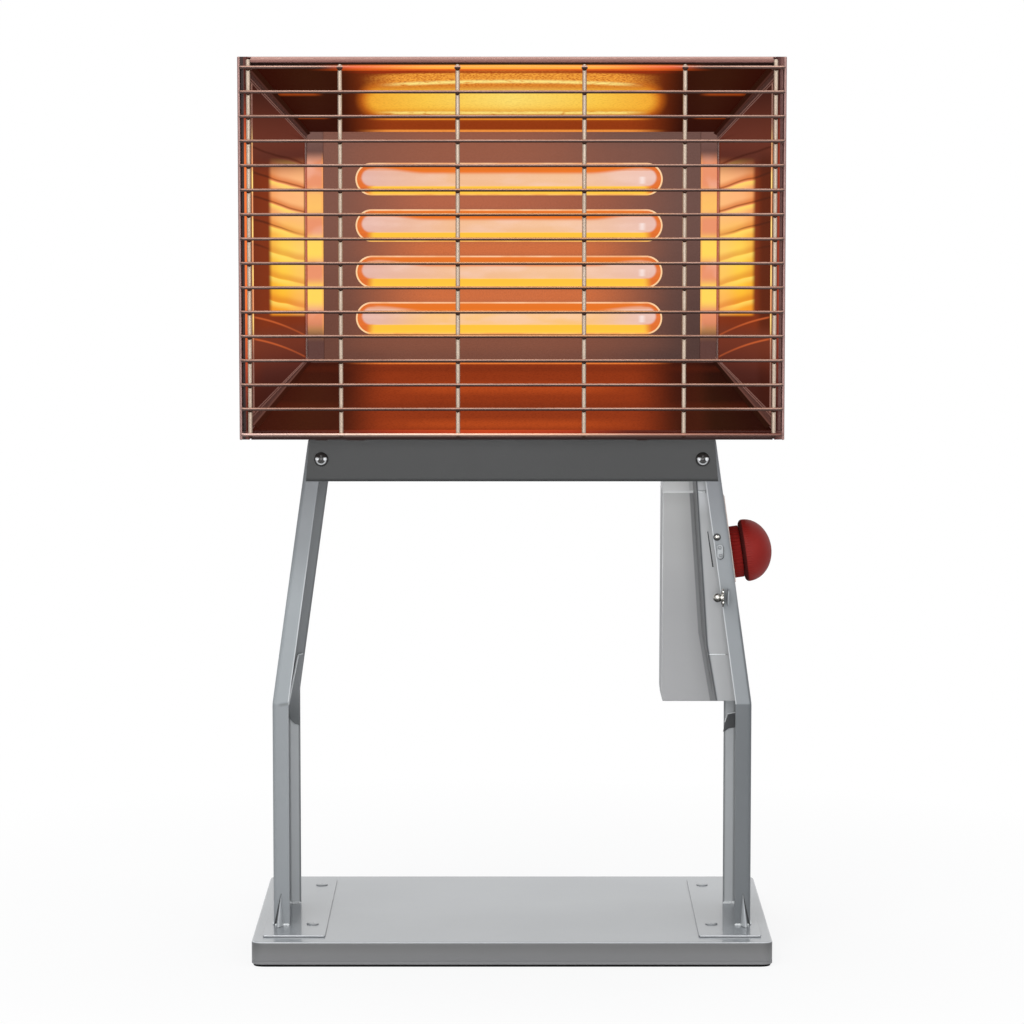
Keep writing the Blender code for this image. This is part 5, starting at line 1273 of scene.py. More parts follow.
def make_gussets(paint, light, ribs, dark):
    """The plate over the left leg's bend with its pale welds as painted highlights, and each foot's rib with a
    thin dark sheet of painted shade for its slit.
    """
    low, high = corners("left_leg_gusset")
    outline = [(-0.1708, 0.1690), (-0.1690, 0.1632), (-0.1655, 0.1596), (-0.1619, 0.1584),
               (-0.1617, LEG_BEND_Z), (-0.1585, 0.2130), (-0.1626, 0.2135), (-0.1706, 0.1745)]
    plate = slab(rounded(outline, 0.0008, 4), rim(high[1] - low[1], 0.0003), low[1], "XZ")
    piece("left_knee_plate", [plate], paint, "left_leg_gusset")
    front = low[1] - 0.0001
    top, foot, across = (-0.1627, front, 0.2128), (-0.1706, front, 0.1735), (-0.1588, front, 0.2136)
    piece("left_knee_weld", [bead(top, foot, 0.00075), bead(top, across, 0.0005)], light)
    for side, sign in LEFT_AND_RIGHT:
        piece(f"{side}_foot_rib", [rib_shell(sign)], ribs, f"{side}_foot_gusset", angle=60)
        slit = np.array([(0.1719, 0.0440), (0.1724, 0.0440), (0.1775, 0.0212), (0.1758, 0.0212)]) * [sign, 1.0]
        thin = slab(slit[::-sign], [(0.0, 0.0), (0.0003, 0.0)], LEG_FRONT_Y - 0.0004, "XZ")
        piece(f"{side}_rib_slit_shade", [thin], dark)


def make_cross_plate(paint, screw_finish):
    """The face and its fold as one bent sheet, as wide at each height as the slanted ends allow."""
    sheet = 0.0015
    face_y, floor, back = CROSS_FACE_Y + sheet / 2, CROSS_LOW[2] + sheet / 2, CROSS_HIGH[1] - sheet / 2
    path = [(face_y, CROSS_HIGH[2]), (face_y, floor), (back, floor), (back, floor + 0.0082)]
    bent = rounded(path, 0.0020, 6, closed=False)
    shelf_start = bent[6] + np.array([0.0004, 0.0])
    y, z = thickened(np.concatenate([bent[:7], shelf_start[None], bent[7:]]), sheet).T
    wide = leg_x(z) - np.interp(z, [CROSS_LOW[2], CROSS_HIGH[2]], [0.0026, 0.0011])
    half = np.where(y < shelf_start[0] - 0.0002, wide, 0.1375)
    piece("cross_plate", [grid(np.array([[-1.0], [1.0]]) * half, y, z)], paint, "front_cross_plate")
    for side, _ in LEFT_AND_RIGHT:
        node = f"{side}_cross_plate_screw"
        middle, size = middle_and_size(node)
        seat = (middle[0], CROSS_FACE_Y - 0.0003, middle[2])
        head = screw_head(seat, (0, -1, 0), size[0], 0.0038, 0.0005, 64)
        piece(f"{side}_dome_screw", [head], screw_finish, node)


def housing_shell(*heights):
    """A bent sheet: a front strip from the leg's web to the wall, then the wall back to the box.
    A point's share of the strip scales with the strip's width at each height."""
    z = np.array(heights)[:, None]
    width = 0.012
    path = [(width, HOUSING_FRONT_Y), (0.0, HOUSING_FRONT_Y), (0.0, LEG_REAR_Y)]
    section = thickened(rounded(path, 0.0018, 6, closed=False), 0.001) + [0.0005, 0.0005]
    wall = housing_x(z)
    extra = (leg_x(z) - LEG_SHEET - 0.0003 - wall - width) * np.clip(section[:, 0] / width, 0.0, 1.0)
    return grid(wall + section[:, 0] + extra, np.minimum(section[:, 1], LEG_REAR_Y), z)


def make_housing(paint, light, dark):
    """The sheet cover inside the right leg in two parts, their seams in pale paint as painted highlights, and a
    thin dark sheet of painted shade for the slit.
    """
    upper = housing_shell(HOUSING_SEAM_Z + 0.0003, HOUSING_KNEE_Z, 0.27, HOUSING_TOP_Z)
    piece("switch_cover", [upper], paint, "switch_housing")
    piece("bend_cover", [housing_shell(BRIDGE_FOOT_Z, 0.205, HOUSING_SEAM_Z)], paint, "right_leg_gusset")
    front, seam_z, lip_z = HOUSING_FRONT_Y - 0.0001, HOUSING_SEAM_Z + 0.0001, BOX_SEAM_Z + 0.0070
    seam = bead((housing_x(HOUSING_SEAM_Z) + 0.0010, front, seam_z), (0.1592, front, seam_z), 0.0005)
    lip = bead((housing_x(lip_z) + 0.0010, front, lip_z), (leg_x(lip_z) - 0.0120, front, lip_z), 0.0009)
    piece("cover_seams", [seam, lip], light)
    slit = [(0.1450, 0.3139), (0.1488, 0.2877), (0.1499, 0.2877), (0.1456, 0.3145)]
    piece("cover_slit_shade", [slab(slit, [(0.0, 0.0), (0.0003, 0.0)], HOUSING_FRONT_Y - 0.0002, "XZ")], dark)


def box_outline(low, high, drawn=0.0):
    """The control box from the front between two heights: its left side leans in a little and has a
    small cut corner at the foot, its right side runs like the leg."""
    left, trim = BOX_LEFT_X + drawn, BOX_TRIM + drawn
    low_left, high_left = left + np.interp([low, high], [BOX_LOW[2], BOX_HIGH[2]], [0.0008, 0.0014])
    high_end = [(leg_x(high) - trim, high), (high_left, high)]
    if low >= LEG_BEND_Z:
        return np.array([(low_left, low), (leg_x(low) - trim, low), *high_end])
    foot = [(left + 0.0016, low), (LEG_FOOT_X - trim, low), (leg_x(LEG_BEND_Z) - trim, LEG_BEND_Z)]
    return np.array([*foot, *high_end, (low_left, low + 0.007)])


def make_control_box(paint, light, screw_finish):
    """The box with its rounded front edge, its turned lip in pale paint as a painted highlight, the lid behind
    it and the lid's screws.
    """
    depth = BOX_HIGH[1] - BOX_LOW[1]
    levels = [(0.0, 0.0010), *(0.0008 * quarter(6)), (depth * 0.5, 0.0), (depth, 0.0), (depth, 0.0010)]
    shape = box_outline(BOX_LOW[2], BOX_HIGH[2])
    outline = rounded(shape, [0.0012] + [0.0016] * (len(shape) - 1), 5)
    piece("control_box", [slab(outline, levels, BOX_LOW[1], "XZ")], paint, "control_box_body")
    lip = rounded(box_outline(BOX_SEAM_Z - 0.0009, BOX_SEAM_Z + 0.0010, -0.0002), 0.0003, 3)
    piece("box_lip", [slab(lip, rim(depth - 0.002, 0.0001), BOX_LOW[1] - 0.0002, "XZ")], light)
    cover = slab(outline, rim(COVER_HIGH[1] - COVER_LOW[1], 0.0003), COVER_LOW[1], "XZ")
    piece("control_box_lid", [cover], paint, "control_box_cover")
    places = [(0.1175, 0.192), (0.1685, 0.183), (0.1175, 0.346), (0.1475, 0.346)]
    heads = [screw_head((x, COVER_HIGH[1], z), (0, 1, 0), 0.0062, 0.0018) for x, z in places]
    piece("lid_screws", heads, screw_finish)


def make_leg_hardware(finish, dull, dark):
    """On the right leg: a domed rivet, a pinched clip with two nubs, the dark seats under both as painted
    shade, and the earth screw's ball head, neck, plain washer and star washer."""
    forward, outward = (0, -1, 0), (1, 0, 0)
    middle, _ = middle_and_size("leg_rivet")
    place = (middle[0], LEG_FRONT_Y - 0.0005, middle[2])
    dome = [*dome_profile(0.00215, 0.0016), (0.0022, -0.0003), (0.0, -0.0003)]
    piece("front_rivet", [lathe(dome, place, forward)], finish, "leg_rivet")
    seat = lathe([(0.0, 0.0), (0.0027, 0.0), (0.0028, -0.0003), (0.0, -0.0003)], place, forward)
    middle, size = middle_and_size("leg_clip")
    long, wide = stadium((0.0, 0.0), size[2], size[0]).T
    pinch = 1.0 - 0.22 * np.exp(-((long - 0.0008) / 0.0016) ** 2)
    upright = np.stack([middle[0] - wide * pinch, middle[2] + long], axis=1)
    front = LEG_FRONT_Y - 0.0015
    nub = [*dome_profile(0.0013, 0.0012), (0.0013, -0.0004), (0.0, -0.0004)]
    nubs = [lathe(nub, (middle[0] + dx, front, middle[2] + dz), forward, 28)
            for dx, dz in ((0.0006, -0.0028), (-0.0004, 0.0030))]
    piece("front_clip", [slab(upright, rim(0.0012, 0.0004), front, "XZ"), *nubs], dull, "leg_clip")
    shadow = slab(upright + [0.0004, -0.0004], rim(0.0004, 0.0001), LEG_FRONT_Y - 0.0006, "XZ")
    piece("hardware_seat_shade", [seat, shadow], dark)
    middle, _ = middle_and_size("earth_screw")
    washer_x = 0.1552
    centre = (washer_x, middle[1], middle[2])
    teeth = np.arange(48)
    reach = np.where(teeth % 4 < 2, 0.0068, 0.0060)
    angle = teeth / 48 * 2 * math.pi
    star = np.stack([middle[1] + reach * np.cos(angle), middle[2] + reach * np.sin(angle)], axis=1)
    around = np.linspace(0.0, math.pi * 0.86, 16)
    ball = np.stack([0.0034 * np.sin(around), -0.0034 * np.cos(around)], axis=1)
    shells = [
        slab(star, [(0.0, 0.0003), (0.0002, 0.0), (0.0010, 0.0), (0.0012, 0.0003)], washer_x, "YZ"),
        lathe([(0.0, 0.0), (0.0050, 0.0), (0.0050, -0.0008), (0.0, -0.0008)], centre, outward),
        lathe([(0.0, 0.0), (0.0026, 0.0), (0.0026, -0.0016), (0.0, -0.0016)], centre, outward),
        lathe(ball, (washer_x - 0.0034, middle[1], middle[2]), outward),
    ]
    piece("earth_terminal", shells, finish, "earth_screw")


# The knob and its dial


def on_knob_axis(first, second, height):
    """Points by their place in the plane square to the knob's axis and their height along it.
    The first direction runs down the leg's web and the second to the back."""
    down = np.array([KNOB_AXIS[2], 0.0, -KNOB_AXIS[0]])
    back = np.array([0.0, 1.0, 0.0])
    parts = np.asarray(first)[..., None] * down + np.asarray(second)[..., None] * back
    return KNOB_CENTRE + parts + np.asarray(height)[..., None] * KNOB_AXIS


def make_knob(plastic):
    """The collar: a cylinder whose radius falls in a row of flutes. The dome: a rim with fine
    ribs that die away upwards, then a quarter ellipse to the tip."""
    angle = np.linspace(0.0, 2 * math.pi, 400, endpoint=False)[None]
    heights = np.array([0.0014, 0.0017, 0.0022, 0.0084, 0.0088])[:, None]
    flute = 0.00045 * (0.5 - 0.5 * np.cos(angle * 40)) ** 1.5
    collar = 0.0194 - np.array([0.0009, 0.0003, 0.0, 0.0, 0.0004])[:, None] - flute
    skirt = 0.0092 + np.array([0.0, 0.0, 0.0003, 0.0009, 0.0017, 0.0023])
    turn = np.linspace(0.0, 1.0, 22) * math.pi / 2
    radius = np.concatenate([[0.0, 0.0200, 0.0212, 0.0222, 0.0229, 0.0232], 0.0233 * np.cos(turn)])[:, None]
    rising = np.concatenate([skirt, 0.0124 + 0.0194 * np.sin(turn)])[:, None]
    fade = np.clip((0.0176 - rising) / 0.0050, 0.0, 1.0) * (radius > 0.02)
    dome = radius - 0.00035 * (0.5 - 0.5 * np.cos(angle * 80)) * fade
    for name, reach, height in (("ring", collar, heights), ("cap", dome, rising)):
        shell = on_knob_axis(reach * np.cos(angle), reach * np.sin(angle), np.broadcast_to(height, reach.shape))
        node = {"ring": "knob_collar", "cap": "knob_dome"}[name]
        piece(f"knob_{name}", [shell], plastic, node, "knob", 50)


def make_dial(enamel, print_finish):
    """The dial plate on the leg's web, with a raised mark and a plain number, upright when seen from
    the right, at each of the switch's four settings."""
    levels = rim(0.0008, 0.0002)
    rings = drawn_in(rounded(rectangle((-0.0455, -0.028), (0.0195, 0.028)), 0.003, 6), levels[:, 1])
    plate = on_knob_axis(rings[..., 0], rings[..., 1], 0.0003 + np.broadcast_to(levels[:, :1], rings.shape[:2]))
    piece("dial_face", [plate], enamel, "dial_plate")
    near, far, half = 0.0238, 0.0258, 0.0004
    spokes = [np.array([math.cos(a), math.sin(a)]) for a in math.pi + np.radians([-60, -20, 20, 60])]
    marks = []
    for spoke in spokes:
        side = half * np.array([-spoke[1], spoke[0]])
        bar = np.array([near * spoke - side, near * spoke + side, far * spoke + side, far * spoke - side])
        marks.append(on_knob_axis(bar[:, 0][None], bar[:, 1][None], np.array([[0.00105] * 4, [0.00115] * 4])))
    piece("dial_marks", marks, print_finish)
    for number, (first, second) in enumerate(0.0287 * np.array(spokes)):
        text = bpy.data.curves.new("dial_number", "FONT")
        text.body = str(number)
        text.size = 0.0058
        text.extrude = 0.00005
        text.align_x = text.align_y = "CENTER"
        mesh = drawn_mesh(text, lambda x, y, z: on_knob_axis(first - y, second + x, 0.0011 + z))
        finished(f"dial_number_{number}", mesh, print_finish, "", "stand", 40)


# The head


def make_posts(paint):
    """A post's section: an outer lip, a groove behind it and an inner return, carried up, with a small
    block at the foot and the top that closes its inside."""
    outer, inner = POST_HIGH[0], OPENING_HALF
    front, back = POST_LOW[1], POST_HIGH[1]
    foot, top = POST_LOW[2], POST_HIGH[2]
    section = rounded(
        [(inner, back), (outer, back), (outer, front), (outer - 0.0021, front),
         (outer - 0.0022, front + 0.0045), (inner + 0.0022, front + 0.0045),
         (inner + 0.0012, front + 0.0015), (inner, front + 0.0012)],
        [0.0003, 0.0008, 0.0009, 0.0008, 0.0003, 0.0003, 0.0004, 0.0004],
    )
    heights = np.array([foot, foot + 0.0004, top - 0.0004, top])[:, None]
    rings = drawn_in(section, [-0.0004, 0.0, 0.0, -0.0004])
    for side, sign in LEFT_AND_RIGHT:
        shells = [grid(sign * rings[..., 0], rings[..., 1], heights)]
        ends = sorted([sign * (inner + 0.0004), sign * (outer - 0.0018)])
        for low, high in ((foot + 0.0002, LOW_RAIL_HIGH[2]), (TOP_RAIL_LOW[2], top - 0.0002)):
            outline = rounded(rectangle((ends[0], low), (ends[1], high)), 0.0007, 4)
            shells.append(slab(outline, rim(0.006, 0.0003), front + 0.0004, "XZ"))
        head_piece(f"{side}_post", shells, paint, f"{side}_frame_post")


def rail_shell(section, cut):
    """A rail's section carried across, its ends at the reach less the cut at each point's height."""
    shares = np.array([-1.0, -0.5, 0.0, 0.5, 1.0])[:, None]
    return grid(shares * (TOP_RAIL_HIGH[0] - cut), section[:, 0], section[:, 1])


def make_rails(paint):
    """Rolled folds: a round hem over a small groove, and three pressed pips under the lower one."""
    low, high = TOP_RAIL_LOW[2], TOP_RAIL_HIGH[2]
    front, back = TOP_RAIL_LOW[1], TOP_RAIL_HIGH[1]
    top = rounded(
        [(back, low), (front + 0.0026, low), (front + 0.0022, low + 0.0012), (front + 0.0002, low + 0.0018),
         (front, low + 0.0044), (front + 0.0016, high), (back, high)],
        [0.0003, 0.0005, 0.0004, 0.0009, 0.0015, 0.0016, 0.0010], 6,
    )
    cut = 0.0009 + 0.0019 * np.clip((top[:, 1] - low - 0.0030) / 0.0038, 0.0, 1.0)
    head_piece("top_rail", [rail_shell(top, cut)], paint, "top_frame_rail")
    low, high = LOW_RAIL_LOW[2], LOW_RAIL_HIGH[2]
    bottom = rounded(
        [(back, low), (front + 0.0014, low), (front, low + 0.0014), (front + 0.0002, low + 0.0034),
         (front + 0.0020, low + 0.0042), (front + 0.0018, low + 0.0050), (front + 0.0006, high), (back, high)],
        [0.0010, 0.0007, 0.0008, 0.0006, 0.0004, 0.0004, 0.0006, 0.0003], 6,
    )
    head_piece("bottom_rail", [rail_shell(bottom, 0.0009)], paint, "bottom_frame_rail")
    levels = [(0.0, 0.0), (0.0004, 0.0001), (0.0007, 0.0006), (0.0008, 0.0012)]
    pips = [slab(stadium((x, front + 0.0040), length, 0.0050, 10), levels, low + 0.0002, sign=-1.0)
            for x, length in ((-0.1385, 0.0110), (-0.1135, 0.0150), (0.0945, 0.0095))]
    head_piece("rail_pips", pips, paint)


def panel_mesh(holes):
    """The rear cover's flat sheet with rounded edges around its outline and its holes."""
    thickness, bevel = 0.001, 0.0002
    curve = bpy.data.curves.new("back_panel", "CURVE")
    curve.dimensions = "2D"
    curve.fill_mode = "BOTH"
    curve.extrude = thickness / 2 - bevel
    curve.bevel_depth = bevel
    curve.bevel_resolution = 2
    curve.offset = -bevel
    for points in (rounded(rectangle(REAR_LOW[[0, 2]], REAR_HIGH[[0, 2]]), 0.0016), *holes):
        spline = curve.splines.new("POLY")
        spline.points.add(len(points) - 1)
        spline.points.foreach_set("co", np.pad(points, ((0, 0), (0, 2))).ravel())
        spline.use_cyclic_u = True
    return drawn_mesh(curve, lambda x, y, z: grid(x, REAR_HIGH[1] - thickness / 2 - z, y))


def make_casing(paint, screw_finish):
    """The sleeve as a closed wall, its outline carried back and round inside again; the cover with
    its slots from a flat curve; a hood over each slot as part of a tapered barrel."""
    low, high = CASING_LOW, CASING_HIGH
    middle = 0.5 * (low[1] + high[1])
    walls = [(low[1], 0.0), (middle, 0.0), (high[1], 0.0), (high[1], 0.001), (low[1], 0.001)]
    sleeve = slab(rounded(rectangle(low[[0, 2]], high[[0, 2]]), 0.0016), walls, 0.0, "XZ")
    head_piece("casing_sleeve", [solid(sleeve, looped=True)], paint, "head_casing")
    vent_x, vent_z, pitch = 0.075, 0.600, 0.012
    vents = [(sign * vent_x, vent_z + row * pitch) for _, sign in LEFT_AND_RIGHT for row in range(-2, 3)]
    cover = panel_mesh([stadium(place, 0.060, 0.005, 10) for place in vents])
    finished("back_panel", cover, paint, "rear_cover", "head", 35)
    s = np.linspace(-1.0, 1.0, 25)[:, None]
    phi = np.linspace(0.0, math.pi / 2, 9)[None]
    taper = np.sqrt(np.clip(1.0 - np.abs(s) ** 6, 0.0, 1.0))
    hoods = []
    for x, z in vents:
        outside, inside = (grid(
            x + s * (0.0315 + grown),
            REAR_HIGH[1] - 0.0002 + (0.0040 + grown) * taper * np.sin(phi),
            z + 0.0038 + grown - 0.0058 * (1 - np.cos(phi)) * (0.3 + 0.7 * taper),
        ) for grown in (0.0, -0.0007))
        hoods.append(np.concatenate([outside, inside[:, ::-1]], axis=1))
    head_piece("vent_hoods", hoods, paint)
    edge_x, low_z, high_z = REAR_HIGH[0] - 0.009, REAR_LOW[2] + 0.009, REAR_HIGH[2] - 0.009
    places = [(sx * edge_x, z) for sx in (-1, 1) for z in (low_z, high_z, 0.526)]
    places += [(0.0, low_z), (0.0, high_z)]
    heads = [screw_head((x, REAR_HIGH[1], z), (0, 1, 0), 0.0066, 0.0020) for x, z in places]
    head_piece("panel_screws", heads, screw_finish)


def make_reflectors(strip_finish):
    """The four reflectors keep their shapes. Over each corner lies a ridged seam sheet with rolled
    lines along it, and beside the plate and the posts run thin turned folds."""
    repaint("top_reflector", top_reflector_steel())
    repaint("bottom_reflector", bottom_reflector_steel())
    sides, strips = side_reflector_steel(), side_strip_steel()
    for side, _ in LEFT_AND_RIGHT:
        repaint(f"{side}_reflector", sides)
        repaint(f"{side}_side_strip", strips)
    seams, lines, rear_folds, edge_folds = [], [], [], []
    u = np.linspace(0.0, 1.0, 12)[:, None]
    v = np.linspace(0.0, 1.0, 15)[None]
    ridge = 0.0006 * (np.exp(-((v - 0.22) / 0.07) ** 2) + np.exp(-((v - 0.80) / 0.08) ** 2))
    share = 0.055
    edge_x = OPENING_HALF - (OPENING_HALF - FUNNEL_REAR_HALF) * share
    edge_y = FUNNEL_FRONT_Y + (FUNNEL_REAR_Y - FUNNEL_FRONT_Y) * share
    for _, sign in LEFT_AND_RIGHT:
        for front_z, rear_z, rise, start, end in (
            (OPENING_LOW_Z, FUNNEL_LOW_Z, 1, 0.0105, 0.0035),
            (OPENING_HIGH_Z, FUNNEL_HIGH_Z, -1, 0.0095, 0.0060),
        ):
            front = np.array([sign * OPENING_HALF, FUNNEL_FRONT_Y, front_z])
            rear = np.array([sign * FUNNEL_REAR_HALF, FUNNEL_REAR_Y, rear_z])
            base = front + (rear - front) * u[..., None]
            across_side = grid(0.0, 0.0, rise * (start + (end - start) * u))
            across_top = np.array([-sign * 0.0006, 0.0, 0.0])
            inward = np.array([-sign, -0.5, rise]) / 1.5
            skin = base + across_side * (1 - v[..., None]) + across_top * v[..., None]
            skin = skin + (0.0007 + ridge)[..., None] * inward
            seams.append(np.concatenate([skin, (skin - 0.0005 * inward)[:, ::-1]], axis=1))
            for k in (0, -1, 3):
                lines.append(tube(skin[:, k] + 0.0003 * inward, 0.00035, inward / np.linalg.norm(inward), 8))
        upright = np.linspace(FUNNEL_LOW_Z + 0.003, FUNNEL_HIGH_Z - 0.003, 8)
        path = grid(sign * (FUNNEL_REAR_HALF + 0.0004), FUNNEL_REAR_Y - 0.0006, upright)
        rear_folds.append(tube(path, 0.0012, (1, 0, 0), 12))
        upright = np.linspace(OPENING_LOW_Z + 0.004, OPENING_HIGH_Z - 0.004, 8)
        edge_folds.append(tube(grid(sign * edge_x, edge_y, upright), 0.0007, (1, 0, 0), 10))
    head_piece("corner_seams", seams, strip_finish)
    head_piece("corner_seam_edges", lines, seam_edge_steel())
    head_piece("side_folds", rear_folds, fold_steel())
    head_piece("edge_folds", edge_folds, edge_fold_steel())


def make_slots(plate, lip, trough, tubes):
    """The plate keeps its shape. A rolled lip runs round each slot, a hem along the plate's top and
    foot, and behind it the trough's sheet bends round each heating tube."""
    repaint("slot_plate", plate)
    lips = []
    angle = np.linspace(0.0, 2 * math.pi, 12, endpoint=False)[None, :, None]
    for z in SLOT_ROWS:
        outline = stadium((SLOT_CENTRE_X, z), SLOT_LENGTH + 0.0002, SLOT_HEIGHT + 0.0002, 40)
        away = laid(outline_normals(outline), 0.0, "XZ")[:, None]
        ring = np.cos(angle) * away + np.sin(angle) * np.array([0.0, 1.0, 0.0])
        lips.append(solid(laid(outline, PLATE_LOW[1] + 0.0002, "XZ")[:, None] + 0.00062 * ring, looped=True))
    head_piece("slot_lips", lips, lip)
    hems = [tube(grid(np.linspace(-0.139, 0.139, 6), PLATE_LOW[1] + 0.0001, z), 0.0006, (0, 0, 1), 10)
            for z in (PLATE_HIGH[2] - 0.0014, PLATE_LOW[2] + 0.0014)]
    head_piece("plate_hems", hems, plate)
    front, radius = PLATE_HIGH[1] + 0.0006, 0.0112
    path = [(front, SLOT_ROWS[0] - 0.0140)]
    turn = np.linspace(-math.pi / 2, math.pi / 2, 20)
    for z in SLOT_ROWS:
        path.append((front, z - radius))
        path.extend(zip(ELEMENT_Y + radius * np.cos(turn), z + radius * np.sin(turn)))
        path.append((front, z + radius))
    path.append((front, SLOT_ROWS[-1] + 0.0140))
    y, z = thickened(path, 0.0006).T
    low, high = corners("trough_reflector")
    head_piece("trough", [grid(np.array([[low[0]], [high[0]]]), y, z)], trough, "trough_reflector")
    for number, z in enumerate(SLOT_ROWS[::-1], start=1):
        make_element(number, z, tubes)


def make_element(number, z, finish):
    """A tube between two caps: its radius swells by a hair at each turn of the coil inside it."""
    node = f"heating_element_{number}"
    half = middle_and_size(node)[1][0] / 2
    x = np.linspace(-half + 0.0101, half - 0.0101, 220)
    swell, coil_pitch = 0.00006, 0.0042
    body = np.stack([ELEMENT_RADIUS - swell + swell * np.cos(x / coil_pitch * 2 * math.pi), x], axis=1)
    cap = ELEMENT_RADIUS + 0.0006
    start = np.array([(0.0, -half), (cap - 0.0006, -half), (cap, -half + 0.0006), (cap, -half + 0.0095),
                      (cap - 0.0005, -half + 0.0100)])
    profile = np.concatenate([start, body, start[::-1] * [1.0, -1.0]])
    shell = lathe(profile, (SLOT_CENTRE_X, ELEMENT_Y, z), (1, 0, 0), 28)
    head_piece(f"element_tube_{number}", [shell], finish, node)


def make_guard(wire, weld_finish):
    """Rows on a straight path whose ends turn back on a quarter circle, closed in a round tip, upright
    columns behind them, and a weld at each crossing."""
    column_y = POST_LOW[1] - 0.0003 - 0.0016
    row_y = column_y - 0.0016 - 0.0012 + 0.0005
    heights = np.linspace(POST_LOW[2] + 0.0051, POST_HIGH[2] - 0.0077, 16)
    heights[0] -= 0.0010
    reach, bend = POST_HIGH[0] - 0.0025, 0.0020
    turn = np.linspace(0.0, math.pi / 2, 7)
    straight = np.stack([np.linspace(0.0, reach - bend - 0.001, 14), np.zeros(14)], axis=1)
    corner = np.stack([reach - bend + bend * np.sin(turn), bend * (1 - np.cos(turn))], axis=1)
    right = np.concatenate([straight, corner, [(reach, bend + 0.0008), (reach, bend + 0.0016)]])
    line = np.concatenate([(right * [-1.0, 1.0])[::-1][:-1], right])
    rows = []
    for z in heights:
        path = grid(line[:, 0], row_y + line[:, 1], z)
        step = np.concatenate([[0.0], np.cumsum(np.linalg.norm(np.diff(path, axis=0), axis=1))])
        rows.append(tube(path, np.maximum(round_ended(step, 0.00115, 0.0010), 0.0001), (0, 0, 1)))
    head_piece("guard_rows", rows, wire, "wire_guard")
    columns, welds = [], []
    tip = 0.0012 * np.array([0.0, 0.15, 0.45, 1.0])
    nugget = dome_profile(0.0018, 0.0011, 5)
    nugget = np.concatenate([nugget, nugget[::-1][1:] * [1.0, -1.0]])
    for x in GUARD_COLUMNS:
        low, high = heights[0] - 0.0016, heights[-1] + 0.0023
        if abs(x) == GUARD_COLUMNS[-1]:
            low, high = POST_LOW[2] + 0.0018, POST_HIGH[2] - 0.0018
        z = np.concatenate([low + tip, np.linspace(low + 0.004, high - 0.004, 8), high - tip[::-1]])
        columns.append(tube(grid(x, column_y, z), round_ended(z - low, 0.0015, 0.0012) + 0.0001, (1, 0, 0), 16))
        welds.extend(lathe(nugget, (x, column_y - 0.0020, z - 0.0007), (0, 1, 0), 10) for z in heights)
    head_piece("guard_columns", columns, column_nickel())
    head_piece("guard_welds", welds, weld_finish)


def make_inner_pieces(steel, moulding, white):
    """What hides in the stand and the head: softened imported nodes, and the tilt bolts with their nuts."""
    for side, sign in LEFT_AND_RIGHT:
        softened(f"{side}_tilt_ear", steel)
        softened(f"{side}_head_bracket", steel)
        softened(f"{side}_element_holder", white)
        node = f"{side}_pivot_bolt"
        low, high = corners(node)
        middle = (low + high) / 2
        near, far = sorted([abs(low[0]), abs(high[0])])
        seat = (sign * (near + 0.0030), middle[1], middle[2])
        head = screw_head(seat, (-sign, 0, 0), high[1] - low[1], 0.0030, 0.0010)
        shank = lathe([(0.0, 0.0), (0.0022, 0.0), (0.0022, 0.0073), (0.0, 0.0073)], seat, (sign, 0, 0), 24)
        turn = np.arange(6) / 6 * 2 * math.pi
        six_sided = 0.0040 * np.stack([np.cos(turn), np.sin(turn)], axis=1) + middle[1:][None]
        nut = slab(rounded(six_sided, 0.0005, 3), rim(0.0026, 0.0003, 3), sign * (far - 0.0029), "YZ", sign)
        piece(f"{side}_tilt_bolt", [head, shank, nut], steel, node)
    softened("terminal_block", white)
    softened("tip_over_switch", moulding)
    softened("rotary_switch", moulding)
    softened("cable_gland", moulding, 0.0004)
    softened("thermal_cutout", steel)
    repaint("switch_shaft", steel)


# The stage

AMBIENT = 0.45
WHITE = (1.0, 1.0, 1.0)


def make_stage():
    """A pale floor that shows as white and keeps the object's soft shadow, and a white world."""
    mesh = bpy.data.meshes.new("floor")
    mesh.from_pydata(laid(rectangle((-12.0, -12.0), (12.0, 12.0)), 0.0, "XY").tolist(), [], [[0, 1, 2, 3]])
    floor = bpy.data.objects.new("floor", mesh)
    bpy.context.scene.collection.objects.link(floor)
    pale = bpy.data.materials.new("floor_white")
    pale.use_nodes = True
    mesh.materials.append(pale)
    made = Nodes(pale.node_tree, clear=True)
    place = made.node("TexCoord", output="Object")
    away = made.node("VectorMath", {"operation": "LENGTH"}, {0: place}, "Value")
    whiter = made.node("MapRange", {}, {0: away, 1: 0.22, 2: 0.70, 3: 0.86, 4: 1.0})
    lit = made.node("BsdfDiffuse", {}, {"Color": (0.86, 0.86, 0.86)})
    seen = made.node("Emission", {}, {"Color": WHITE})
    share = made.node("LightPath", output="Is Camera Ray") * whiter
    made.node("OutputMaterial", {}, {"Surface": made.node("MixShader", {}, {0: share, 1: lit, 2: seen})})
    world = bpy.data.worlds.new("studio")
    bpy.context.scene.world = world
    world.use_nodes = True
    made = Nodes(world.node_tree, clear=True)
    ambient = made.node("Background", {}, {"Color": (0.93, 0.96, 1.0), "Strength": AMBIENT})
    seen = made.node("Background", {}, {"Color": WHITE})
    camera, glossy = (made.node("LightPath", output=f"Is {kind} Ray") for kind in ("Camera", "Glossy"))
    share = camera.math("MAXIMUM", glossy)
    made.node("OutputWorld", {}, {"Surface": made.node("MixShader", {}, {0: share, 1: ambient, 2: seen})})


